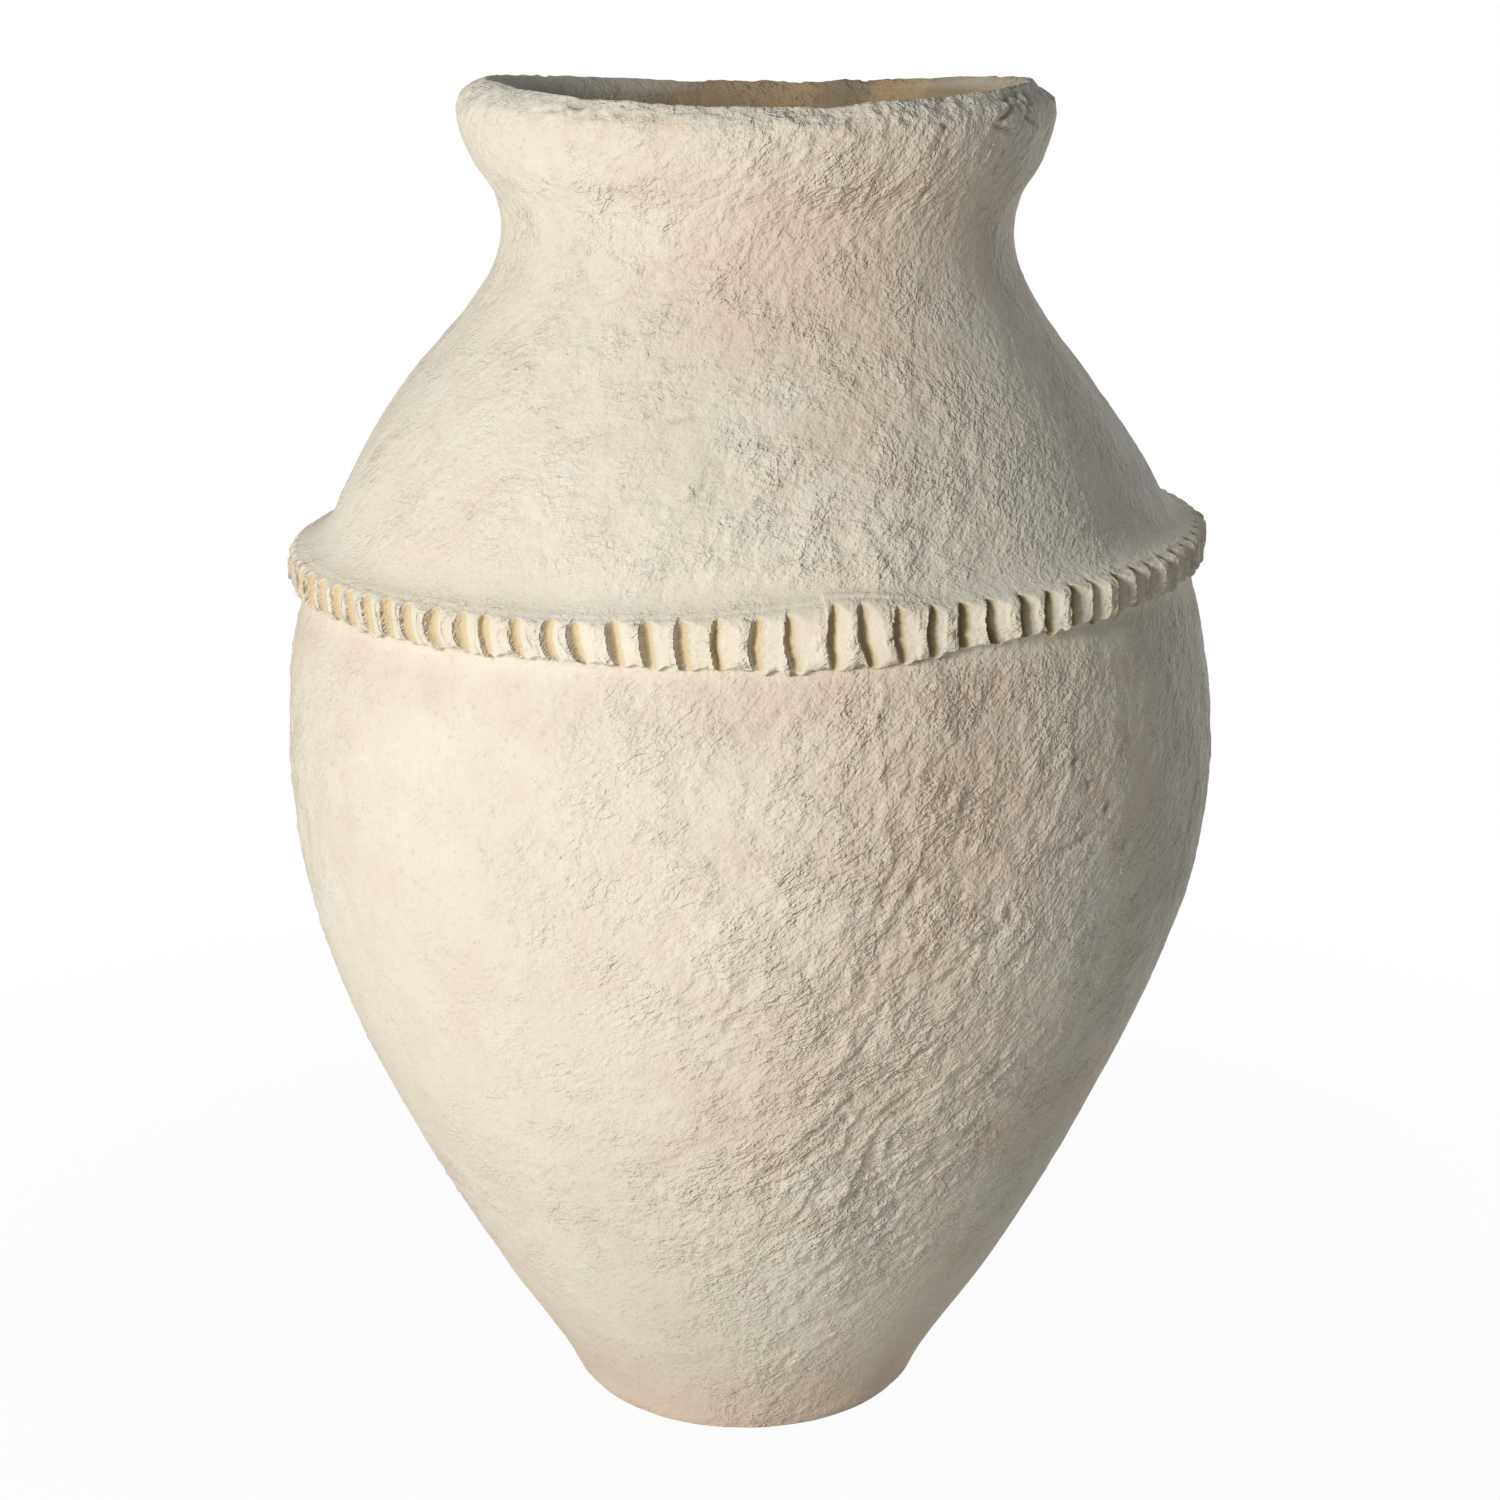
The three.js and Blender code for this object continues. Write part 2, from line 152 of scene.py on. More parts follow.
print("crest of the strip, mm from the axis:", round(CREST_RADIUS, 1))


# %% [markdown]
# ## A steady source of roughness
#
# Clay and lime are rough at many scales. Gradient noise gives smooth random hills of one size; it is
# worked out for all the points of a piece at once, and always comes out the same.

# %% Gradient noise, and the noise averaged along the stroke of a hand
HASH_SEED = 3266489917
HASH_STEPS = (374761393, 668265263, 2246822519)
HASH_MIX = 1274126177
WHOLE_WORD = 0xFFFFFFFF


def scatter(cell, seed):
    """One repeatable random whole number for each cell of a grid."""
    mixed = np.full(cell[0].shape, seed * HASH_SEED & WHOLE_WORD, np.uint32)
    for axis, step in zip(cell, HASH_STEPS):
        mixed ^= axis.astype(np.uint32) * np.uint32(step)
        mixed = (mixed ^ (mixed >> np.uint32(13))) * np.uint32(HASH_MIX)
    return mixed ^ (mixed >> np.uint32(16))


def hills(places, wave, seed):
    """Smooth random heights, mostly within 0.5 of zero, with hills about one wave apart."""
    grid = (places / wave).T.astype(np.float32)
    low = np.floor(grid).astype(np.int64)
    inside = grid - low
    fade = inside**3 * (inside * (inside * 6 - 15) + 10)
    total = np.zeros(len(places), np.float32)
    for corner in np.ndindex(2, 2, 2):
        chance = scatter([low[axis] + corner[axis] for axis in range(3)], seed)
        weight = np.ones(len(places), np.float32)
        lift = np.zeros(len(places), np.float32)
        for axis in range(3):
            tilt = ((chance >> np.uint32(8 * axis)) & np.uint32(255)).astype(np.float32) / 127.5 - 1
            lift += tilt * (inside[axis] - corner[axis])
            weight *= fade[axis] if corner[axis] else 1 - fade[axis]
        total += weight * lift
    return total


def layers(places, rows, base=0):
    """Hills of several sizes on a base. Each row is their height, their wave and their seed."""
    return sum((height * hills(places, wave, seed) for height, wave, seed in rows), base)


def stroked(places, heading, wave, reach, seed, dabs):
    """Hills drawn out along a heading: the mean of the hills met on the way from -reach to reach."""
    steps = np.linspace(-reach, reach, dabs)
    return sum(hills(places + heading * step, wave, seed) for step in steps) / math.sqrt(dabs)


sample = np.random.default_rng(1).uniform(0, 500, (20000, 3))
print("spread of the hills:", round(float(hills(sample, 10, 1).std()), 3))

# %% [markdown]
# ## What a hand leaves in the lime
#
# The coat was rubbed on in short, slanting strokes. The wall under it swells slowly, soft waves as wide
# as a finger follow the strokes, and finer folds, fibres and creases lie on those. Close to the strip
# the coat was smoothed with a wet finger, and on the left of the pot it is calmer than on the right. The
# mesh holds what is wider than about three millimetres. Finer grit is left to the finish.
#
# In the values below, a pair that goes to `smooth` is where a fade starts and ends. Hills are given by
# their height, wave and seed, or where one of them is enough by their wave and seed.

# %% The way the hand went, and how rough the coat is, at each place
STROKE_ANGLE = 50.0
STROKE_WANDER = 60.0
STROKE_HILLS = ((1, 75, 5), (0.5, 30, 6))
LIP_FOLDS = (-52, 24, 526, 26)
LIP_FOLDS_TURN = 95
ROUGH_HILLS = ((1, 90, 11), (0.6, 35, 12))
ROUGH_BASE = 0.34
ROUGH_SIDE = 0.48
ROUGH_BELLY = 0.12
ROUGH_PATCHES = 0.7
ROUGH_FOLDS = 0.25
ROUGH_LIP = 0.2
LEAST_ROUGH = 0.14
SIDE_TURN = 0.12
SIDE_FADE = (-0.45, 0.3)
BELLY_REACH = 130
FAR_SIDE_CALM = 0.75
FAR_SIDE_BELLY = 0.7
FAR_SIDE_FADE = (0.3, 0.7)
FOOT_CALM = 0.4
FOOT_FADE = (30, 110)
LIP_FADE = (545, 560)
STRIP_MIDDLE = STRIP_FOOT_HEIGHT + STRIP_FACE / 2
STRIP_CALM = 0.25
STRIP_CALM_HILLS = (5, 40, 13)
STRIP_CALM_FADE = (9, 23)


def around(places):
    """Angle from the front towards the right, in radians."""
    return np.arctan2(places[:, 0], -places[:, 1])


def from_axis(places):
    """Distance from the axis."""
    return np.hypot(places[:, 0], places[:, 1])


def under_lip(places):
    """1 on the left of the neck, under the lip, where the folds slant the other way."""
    angle, angle_reach, level, level_reach = LIP_FOLDS
    across = (np.degrees(around(places)) - angle) / angle_reach
    return np.exp(-across**2 - ((places[:, 2] - level) / level_reach)**2)


def stroke_heading(places, outward):
    """Unit direction of the hand on the surface: rising to the right, and wandering."""
    angle = around(places)
    sideways = np.column_stack([np.cos(angle), np.sin(angle), np.zeros(len(angle))])
    upwards = np.cross(outward, sideways)
    tilt = STROKE_ANGLE + STROKE_WANDER * layers(places, STROKE_HILLS) - LIP_FOLDS_TURN * under_lip(places)
    tilt = np.radians(tilt)[:, None]
    return sideways * np.cos(tilt) + upwards * np.sin(tilt)


def roughness(places):
    """From 0, smoothed by a wet finger, to 1, as rough as the coat gets."""
    angle = around(places)
    height = places[:, 2]
    side = smooth(np.sin(angle + SIDE_TURN), *SIDE_FADE)
    belly = np.exp(-((height - BELLY[0]) / BELLY_REACH)**2)
    side *= 1 - FAR_SIDE_CALM * (1 - FAR_SIDE_BELLY * belly) * smooth(np.sin(angle), *FAR_SIDE_FADE)
    rough = ROUGH_BASE + (ROUGH_SIDE + ROUGH_BELLY * belly) * side
    rough += ROUGH_PATCHES * layers(places, ROUGH_HILLS)
    rough -= FOOT_CALM * (1 - smooth(height, *FOOT_FADE))
    rough += ROUGH_FOLDS * under_lip(places) + ROUGH_LIP * smooth(height, *LIP_FADE)
    from_strip = layers(places, [STRIP_CALM_HILLS], np.abs(height - STRIP_MIDDLE))
    open_wall = smooth(from_strip, *STRIP_CALM_FADE)
    return np.clip(rough, LEAST_ROUGH, 1) * (STRIP_CALM + (1 - STRIP_CALM) * open_wall)


print("mean roughness:", round(float(roughness(sample).mean()), 2))


# %% Where the coat is pinkish and where it is greenish grey, with painted shade under the strip and on the lip's top
# Angle, height and reach of each spot, and how far it goes to pink or, below 0, to grey
TINT_SPOTS = [
    (18, 500, 62, 1.6), (23, 312, 50, 1.7), (14, 215, 60, 0.7), (52, 430, 60, -1.2),
    (66, 250, 50, -1.0), (-5, 425, 70, -0.5), (-118, 545, 66, -2.2), (176, 545, 76, 1.6),
]
TINT_HILLS = ((0.7, 70, 161), (0.7, 24, 162))
TINT_BASE = 0.15
# Painted shade under the strip, a warmer, darker band: how far it goes to pink, its height and its reach
UNDER_STRIP_PAINTED_SHADE = (0.55, 358, 12)
# Painted shade: the top of the lip, which faces up, is made greyer
LIP_TOP_PAINTED_SHADE = 0.9
LIP_TOP_SHADE_FADE = (LIP[0] + 6, LIP[0] + 10)
FOOT_BLUSH = 1.1
FOOT_BLUSH_TOP = 70


def tint(places):
    """Above 0 where the coat is pinkish, below 0 where it is greenish grey. It also holds painted shade: a
    warmer band under the strip and a greyer top of the lip.
    """
    angle = np.degrees(around(places))
    height = places[:, 2]
    value = layers(places, TINT_HILLS)
    for middle, level, reach, amount in TINT_SPOTS:
        across = np.radians((angle - middle + 180) % 360 - 180) * from_axis(places)
        value += amount * np.exp(-(across**2 + (height - level)**2) / reach**2)
    # Painted shade: a warmer, darker band just under the strip
    amount, level, reach = UNDER_STRIP_PAINTED_SHADE
    value += amount * np.exp(-((height - level) / reach)**2)
    # Painted shade on the top of the lip
    value -= LIP_TOP_PAINTED_SHADE * smooth(height, *LIP_TOP_SHADE_FADE)
    return value + TINT_BASE + FOOT_BLUSH * (1 - smooth(height, 0, FOOT_BLUSH_TOP))


print("tinted spots:", len(TINT_SPOTS))


# %% Scars in the coat: angle, height, half length, half width, depth, slant and bend
SCARS = [
    (-26.0, 566, 2.2, 1.4, 1.5, 20, 0), (34.5, 560, 1.6, 1.3, 1.2, 0, 0),
    (-23.0, 344, 1.6, 1.2, 0.9, 80, 0), (-5.2, 342, 1.8, 1.2, 0.8, 60, 0),
    (39.0, 324, 1.5, 1.3, 1.5, 30, 0), (41.2, 314, 1.4, 1.4, 1.5, 0, 0), (44.2, 303, 1.8, 1.3, 1.4, 60, 0),
    (48.0, 285, 1.5, 1.3, 1.2, 0, 0), (52.2, 562, 9, 1.1, 1.6, 25, 0.02), (59.8, 564, 6, 1.1, 1.5, 60, 0),
    (60.5, 557, 7, 1.1, 1.5, -20, 0), (50.0, 556, 8, 1.1, 1.4, -15, 0), (63.5, 566, 5, 1.1, 1.4, 35, 0),
    (55.0, 567, 5, 1.0, 1.3, 10, 0), (-30.2, 432, 5, 1.2, 0.7, -50, 0.04),
    (-25.8, 404, 5.5, 1.2, 0.6, -60, -0.03), (-6.2, 429, 4.5, 1.3, 1.0, 50, 0.05),
    (3.7, 354, 2.4, 1.1, 1.3, 25, 0), (17.0, 324, 4, 1.2, 0.9, 50, 0), (38.5, 292, 9, 1.4, 1.1, 8, 0.02),
    (20.5, 290, 6, 1.4, 1.0, 40, 0.04), (23.5, 323, 4.5, 1.2, 0.9, -10, 0.05),
    (16.2, 336, 5, 1.3, 0.9, 35, 0.03), (-36.2, 568, 4, 2.2, 2.0, 0, 0),
    (-10.0, 452, 6, 1.3, 0.7, 15, 0.02), (9.0, 258, 7, 1.4, 0.9, 55, 0.02),
    (-2.0, 236, 5, 1.3, 0.8, 60, -0.03), (12.0, 196, 6, 1.3, 0.9, 45, 0.03),
]
SCAR_RIDGE = 0.5


def scars(places):
    """Depth of the pits, and of the folds, which also have a low ridge beside them."""
    angle = around(places)
    radius = from_axis(places)
    total = np.zeros(len(places))
    for turn, level, length, width, depth, slant, bend in SCARS:
        across = (angle - math.radians(turn)) * radius
        upward = places[:, 2] - level
        lean = math.radians(slant)
        along = across * math.cos(lean) + upward * math.sin(lean)
        over = upward * math.cos(lean) - across * math.sin(lean) - bend * along**2
        groove = np.exp(-(over / width)**2) - SCAR_RIDGE * np.exp(-(over / width - 2)**2)
        total += depth * groove * np.exp(-(along / length)**4)
    return total


print("scars:", len(SCARS))


# %% [markdown]
# A soft edge runs up the front of the wall, where two slow swells meet. It is a path of heights and
# angles. The strip follows it as the wall does.

# %% Slow swells of the wall, in millimetres
SWELL = 1.4
SWELL_HILLS = ((1, 120, 21), (0.35, 50, 22))
EDGE_PATH = [(110, 10), (200, 3), (272, 6), (332, 16), (415, 14), (470, 28)]
EDGE_WANDER = (12, 60, 23)
EDGE_LIFT = 4.4
EDGE_REACH_LEFT = 55
EDGE_REACH_RIGHT = 26
EDGE_START = (60, 140)
EDGE_END = (400, 470)
LIP_FLAT = 2.6
LIP_FLAT_ANGLE = 88
LIP_FLAT_REACH = 40
LIP_FLAT_FADE = (528, 552)


def swell(places):
    """Slow waves of the wall itself, with the soft edge up its front and a flat on the lip's right."""
    angle = np.degrees(around(places))
    height = places[:, 2]
    middle = layers(places * [0, 0, 1], [EDGE_WANDER], np.interp(height, *zip(*EDGE_PATH)))
    across = np.radians(angle - middle) * from_axis(places)
    reach = np.where(across < 0, EDGE_REACH_LEFT, EDGE_REACH_RIGHT)
    edge = EDGE_LIFT * np.exp(-(across / reach)**2)
    edge = edge * smooth(height, *EDGE_START) * (1 - smooth(height, *EDGE_END))
    flat = LIP_FLAT * np.exp(-((angle - LIP_FLAT_ANGLE) / LIP_FLAT_REACH)**2) * smooth(height, *LIP_FLAT_FADE)
    return edge - flat + SWELL * layers(places, SWELL_HILLS)


print("spread of the swells, mm:", round(float(swell(sample).std()), 2))


# %% The relief of the coat, in millimetres out from the wall
# Strokes are given by their wave, reach, seed and dabs, and patches by what roughness adds to them, the
# wave and seed of their hills, and where they fade
SOFT_WAVE = 0.6
WAVE_HILLS = (30, 31)
WAVE_DRAWN = 0.7
WAVE_STROKES = (13, 7, 32, 7)
WAVE_CALM = 0.4
WAVE_NECK_CALM = 0.4
FOLD = 0.45
FOLD_UNDER_LIP = 0.4
FOLD_STROKES = (6.5, 3, 41, 5)
FIBRE = 0.55
FIBRE_STROKES = (3.7, 1.2, 51, 3)
CRUMB = 0.6
CRUMB_HILLS = (3.3, 52)
LEDGE = 0.3
LEDGE_STROKES = (10, 3, 61, 5)
LEDGE_HILLS = (0.5, 4.2, 62)
LEDGE_STEPS = ((0.02, 0.16), (0.3, 0.42))
LEDGE_PATCHES = (0.5, 26, 63, 0.16, 0.42)
CREASE = 0.9
CREASE_STROKES = (9.5, 9, 65, 5)
CREASE_HILLS = (0.06, 4.2, 66)
CREASE_WIDTH = 0.16
CREASE_PATCHES = (0.4, 21, 67, 0.1, 0.34)
PIT = 0.8
PIT_HILLS = ((1, 4.0, 72), (0.3, 14, 73))
PIT_EDGE = (0.55, 0.72)
PIT_FADE = (0.2, 0.5)
RAKED_CALM = 0.6
RAKED_FADE = (0.3, 0.75)


def patches(places, rough, more, wave, seed, low, high):
    """1 in patches, and in more of them where the coat is rough."""
    return smooth(hills(places, wave, seed) + more * rough, low, high)


def coat_relief(places, outward):
    """Height of the coat, and the fine part of it that tells ridges from hollows."""
    rough = roughness(places)
    heading = stroke_heading(places, outward)
    waves = SOFT_WAVE * (hills(places, *WAVE_HILLS) + WAVE_DRAWN * stroked(places, heading, *WAVE_STROKES))
    folds = FOLD * (1 + FOLD_UNDER_LIP * under_lip(places)) * stroked(places, heading, *FOLD_STROKES)
    fibres = FIBRE * stroked(places, heading, *FIBRE_STROKES)
    crumbs = CRUMB * hills(places, *CRUMB_HILLS)
    torn = layers(places, [LEDGE_HILLS], stroked(places, heading, *LEDGE_STROKES))
    ledges = LEDGE * sum(smooth(torn, *step) for step in LEDGE_STEPS) * patches(places, rough, *LEDGE_PATCHES)
    seam = np.abs(layers(places, [CREASE_HILLS], stroked(places, heading, *CREASE_STROKES)))
    creases = CREASE * (1 - smooth(seam, 0, CREASE_WIDTH)) * patches(places, rough, *CREASE_PATCHES)
    pits = PIT * smooth(layers(places, PIT_HILLS), *PIT_EDGE) * smooth(rough, *PIT_FADE)
    raked = 1 - RAKED_CALM * smooth(np.sin(around(places)), *RAKED_FADE)
    fine = rough * raked * (folds + fibres + crumbs + ledges + creases) - pits - scars(places)
    neck = smooth(places[:, 2], COLLAR[0], THROAT[0])
    waves *= (WAVE_CALM + (1 - WAVE_CALM) * rough) * raked * (1 - WAVE_NECK_CALM * neck)
    return swell(places) + waves + fine, fine


# %% Knocks on the lip, and the bare clay inside, in millimetres
LIP_TOP_FADE = (LIP[0] - 2, LIP[0] + 4)
LIP_UPWARD_FADE = (0.1, 0.5)
LIP_LUMPS = ((1.5, 19, 171), (1.0, 7, 172))
KNOCK = 1.3
KNOCK_HILLS = ((1, 13, 173), (0.4, 5, 174))
KNOCK_EDGE = (0.12, 0.34)
CLAY_SWELL = (1.2, 60, 84)
CLAY_GRIT = ((0.3, 9, 82), (0.15, 4, 83))
RIDGE_HILLS = (0.55, 70, 81)
RIDGE_FLATNESS = 7


def lip_knocks(places, outward):
    """Lumps on the top of the lip, and what was knocked off its inner edge."""
    on_top = smooth(places[:, 2], *LIP_TOP_FADE) * smooth(outward[:, 2], *LIP_UPWARD_FADE)
    knocked = KNOCK * smooth(layers(places, KNOCK_HILLS), *KNOCK_EDGE)
    return on_top * (layers(places, LIP_LUMPS) - knocked)


def clay_relief(places):
    """Finger ridges round the bare inside of the wall."""
    ridges = layers(places * [1, 1, RIDGE_FLATNESS], [RIDGE_HILLS])
    fine = layers(places, CLAY_GRIT, ridges)
    return layers(places, [CLAY_SWELL]) + fine, fine


print("spread of the bare inside, mm:", round(float(clay_relief(sample)[0].std()), 2))


# %% [markdown]
# ## One round of wall
#
# The profile of a round is a closed loop in one half plane: up the outside, down across the slipped
# joint, down the inside and back. `bmesh.ops.spin` swings it round the axis in sixty sectors, because
# spin gets slow with many steps. `bmesh.ops.subdivide_edges` then cuts each sector into slices, and the
# new points are pushed out from the chord to their circle. The loop's points carry their radius, the
# direction in which each may be raised, and whether the lime coat covers it, and both operators pass
# these on. Then every point is moved along its direction by the relief at its place. Neighbouring rounds
# share their edge points, so no line shows between them.

# %% Profile points: radius, height, the two parts of the outward direction, and the coat
ROUND_SECTORS = 60
SECTOR_SLICES = 14
OUTER_STEP = 1.45
INNER_STEP = 5.5
JOINT_STEPS = 3


def outer_point(height):
    """A point on the outside, which the coat covers."""
    radius, slope = outline(height)
    size = math.hypot(1, slope)
    return float(radius), float(height), 1 / size, -float(slope) / size, 1.0


def inner_point(height):
    """A point on the bare inside, one wall thickness in, square to the outline."""
    radius, slope = outline(height)
    size = math.hypot(1, slope)
    share = min(max((height - NECK[0]) / (LIP[0] - NECK[0]), 0), 1)
    thickness = WALL_THICKNESS + (LIP_THICKNESS - WALL_THICKNESS) * share
    return float(radius - thickness * size), float(height), -1 / size, float(slope) / size, 0.0


def joint_points(start, end):
    """Points across a slipped joint, between its two ends, that the relief leaves alone."""
    shares = np.linspace(0, 1, JOINT_STEPS + 1)[1:-1]
    return [(start[0] + (end[0] - start[0]) * t, start[1] + (end[1] - start[1]) * t, 0, 0, 0) for t in shares]


def heights(low, high, step):
    """Heights from low to high, about one step apart along the outline."""
    length = math.hypot(high - low, outline(high)[0] - outline(low)[0])
    return np.linspace(low, high, max(2, round(length / step) + 1))


print("wall at the belly, mm:", round(outer_point(BELLY[0])[0] - inner_point(BELLY[0])[0], 1))


# %% Reading and writing a piece's points, in millimetres
def read_values(piece, name):
    """The values of one attribute of a piece."""
    values = np.empty(len(piece.data.vertices), np.float32)
    piece.data.attributes[name].data.foreach_get("value", values)
    return values


def read_places(piece):
    """The points of a piece, in millimetres."""
    places = np.empty(len(piece.data.vertices) * 3)
    piece.data.vertices.foreach_get("co", places)
    return places.reshape(-1, 3) / MM


def write_places(piece, places):
    """Puts the points of a piece at these places, in millimetres."""
    piece.data.vertices.foreach_set("co", (places * MM).ravel())
    piece.data.update()


def keep_values(piece, **named):
    """Stores one value for each point under each name, for the finish to read."""
    for name, values in named.items():
        layer = piece.data.attributes.new(name, "FLOAT", "POINT")
        layer.data.foreach_set("value", np.asarray(values, np.float32))


# %% Spin a profile into a closed ring
KEPT = ("radius", "out_across", "out_up", "coat")
ON_AXIS = 1e-9
NEAR_AXIS = 1e-6
MERGE_DISTANCE = 0.001 * MM


def turn_between(edge):
    """How far round the axis the two ends of an edge lie apart, in radians."""
    first, second = (vert.co.xy for vert in edge.verts)
    if min(first.length, second.length) < ON_AXIS:
        return 0.0
    return abs(first.angle_signed(second))


def spin_profile(name, points, start=0.0, sweep=360.0, sectors=ROUND_SECTORS, slices=SECTOR_SLICES):
    """A mesh object from a closed profile, swung from one angle round the axis."""
    shape = bmesh.new()
    kept = [shape.verts.layers.float.new(word) for word in KEPT]
    across = (math.sin(math.radians(start)), -math.cos(math.radians(start)))
    verts = []
    for radius, height, *values in points:
        vert = shape.verts.new((radius * across[0] * MM, radius * across[1] * MM, height * MM))
        for layer, value in zip(kept, (radius, *values)):
            vert[layer] = value
        verts.append(vert)
    loop = [shape.edges.new(pair) for pair in zip(verts, verts[1:] + verts[:1])]
    closes = sweep == 360.0
    bmesh.ops.spin(shape, geom=verts + loop, cent=(0, 0, 0), axis=(0, 0, 1),
                   angle=math.radians(sweep), steps=sectors, use_merge=closes)
    bmesh.ops.remove_doubles(shape, verts=shape.verts, dist=MERGE_DISTANCE)
    half_sector = math.radians(sweep) / sectors / 2
    arcs = [edge for edge in shape.edges if turn_between(edge) > half_sector]
    bmesh.ops.subdivide_edges(shape, edges=arcs, cuts=slices - 1, use_grid_fill=True)
    if not closes:
        bmesh.ops.holes_fill(shape, edges=[edge for edge in shape.edges if edge.is_boundary], sides=0)
    bmesh.ops.recalc_face_normals(shape, faces=shape.faces)
    mesh = bpy.data.meshes.new(name)
    shape.to_mesh(mesh)
    shape.free()
    piece = bpy.data.objects.new(name, mesh)
    bpy.context.scene.collection.objects.link(piece)
    places = read_places(piece)
    places[:, :2] *= (read_values(piece, "radius") / np.maximum(from_axis(places), NEAR_AXIS))[:, None]
    write_places(piece, places)
    return piece


# %% Raise the relief on a piece of wall
SHARP_EDGE = 60.0
ON_LEVEL = 0.001
ALL_COAT = 0.99
joints = {}


def outward_directions(piece, places):
    """The unit direction in which each point may be raised."""
    angle = around(places)
    across = read_values(piece, "out_across")
    return np.column_stack([np.sin(angle) * across, -np.cos(angle) * across, read_values(piece, "out_up")])


def note_joints(piece, places, coat, levels):
    """Keeps, for each joint, the points of the coat that lie on it, in order round the pot."""
    for level in levels:
        ring = np.flatnonzero((np.abs(places[:, 2] - level) < ON_LEVEL) & (coat > ALL_COAT))
        ring = ring[np.argsort(around(places[ring]))]
        joints.setdefault(level, []).append((piece, ring))


def finish_mesh(piece):
    """Smooth shading, with the edges of the joints kept sharp."""
    mesh = piece.data
    mesh.shade_smooth()
    mesh.set_sharp_from_angle(angle=math.radians(SHARP_EDGE))
    on_joint = np.zeros(len(mesh.vertices), bool)
    for noted in joints.values():
        for owner, ring in noted:
            if owner == piece:
                on_joint[ring] = True
    ends = np.empty(len(mesh.edges) * 2, np.int32)
    mesh.edges.foreach_get("vertices", ends)
    sharp = np.empty(len(mesh.edges), bool)
    mesh.edges.foreach_get("use_edge_sharp", sharp)
    mesh.edges.foreach_set("use_edge_sharp", sharp | on_joint[ends.reshape(-1, 2)].all(axis=1))
    triangles = sum(len(face.vertices) - 2 for face in mesh.polygons)
    print(piece.name, "triangles:", triangles)
    return piece


def model_wall(name, points, levels):
    """A ring of wall with coat outside and bare clay inside, warped like the whole pot."""
    piece = spin_profile(name, points)
    places = read_places(piece)
    outward = outward_directions(piece, places)
    coat = read_values(piece, "coat")
    note_joints(piece, places, coat, levels)
    relief, fine = coat_relief(places, outward)
    relief += lip_knocks(places, outward)
    inside_relief, inside_fine = clay_relief(places)
    amount = coat * relief + (1 - coat) * inside_relief
    write_places(piece, uneven(places + outward * amount[:, None]))
    keep_values(piece, fine=coat * fine + (1 - coat) * inside_fine,
                rough=roughness(places), tint=tint(places))
    return finish_mesh(piece)


def wall_round(name, low, high, low_drop=BEVEL_DROP, step=OUTER_STEP, inner_step=INNER_STEP):
    """One round of wall between two joints, each given by its height outside."""
    outer = [outer_point(height) for height in heights(low, high, step)]
    inner = [inner_point(height) for height in heights(high - BEVEL_DROP, low - low_drop, inner_step)]
    top = joint_points(outer[-1], inner[0])
    bottom = joint_points(inner[-1], outer[0])
    return model_wall(name, outer + top + inner + bottom, (low, high))


first_round = wall_round("first_round", FLOOR_TOP[0], LOWER_JOINT[0], low_drop=0, step=1.65)
second_round = wall_round("second_round", LOWER_JOINT[0], BELLY_JOINT[0])
third_round = wall_round("third_round", BELLY_JOINT[0], SEAT[0], step=1.55)
fourth_round = wall_round("fourth_round", SEAT[0], NECK_JOINT[0])
neck_round = wall_round("neck_round", NECK_JOINT[0], LIP_JOINT[0], step=1.2, inner_step=3)

# %% [markdown]
# ## The lip
#
# The last coil was turned outwards and rubbed round. Its profile goes on from the neck, over a half oval
# crown and down inside. The coat ends raggedly on the inner edge, so its value fades across the crown.

# %% Lip coil
CROWN_STEPS = 44
COAT_END = (0.42 * math.pi, 0.66 * math.pi)
BEVEL_FROM = math.radians(28)
BEVEL_TO = math.radians(98)
BEVEL_FLATNESS = 0.75
LIP_OUTER_STEP = 1.2
LIP_INNER_STEP = 1.4


def crown_points():
    """Half an oval from the outer to the inner edge of the lip, rubbed flatter on its outer shoulder."""
    inner_radius = inner_point(LIP[0])[0]
    middle = (LIP[1] + inner_radius) / 2
    half = (LIP[1] - inner_radius) / 2
    points = []
    for angle in np.linspace(0, math.pi, CROWN_STEPS + 1)[1:-1]:
        across, up = math.cos(angle) / half, math.sin(angle) / LIP_CROWN
        size = math.hypot(across, up)
        coat = float(1 - smooth(angle, *COAT_END))
        radius, height = middle + half * math.cos(angle), LIP[0] + LIP_CROWN * math.sin(angle)
        share = (angle - BEVEL_FROM) / (BEVEL_TO - BEVEL_FROM)
        if 0 < share < 1:
            chord_across = math.cos(BEVEL_FROM) * (1 - share) + math.cos(BEVEL_TO) * share
            chord_up = math.sin(BEVEL_FROM) * (1 - share) + math.sin(BEVEL_TO) * share
            radius += BEVEL_FLATNESS * (middle + half * chord_across - radius)
            height += BEVEL_FLATNESS * (LIP[0] + LIP_CROWN * chord_up - height)
        points.append((radius, height, across / size, up / size, coat))
    return points


def lip_coil():
    """The rolled lip, seated on the bevel of the neck."""
    outer = [outer_point(height) for height in heights(LIP_JOINT[0], LIP[0], LIP_OUTER_STEP)]
    inner = [inner_point(height) for height in heights(LIP[0], LIP_JOINT[0] - BEVEL_DROP, LIP_INNER_STEP)]
    points = outer + crown_points() + inner + joint_points(inner[-1], outer[0])
    return model_wall("lip_coil", points, (LIP_JOINT[0],))


lip = lip_coil()

# %% [markdown]
# ## The floor
#
# The floor is a beaten disc. It rests flat, its lower edge is rounded by the thumb, and its upper face
# is the inside of the pot, where the finger went round in a spiral.

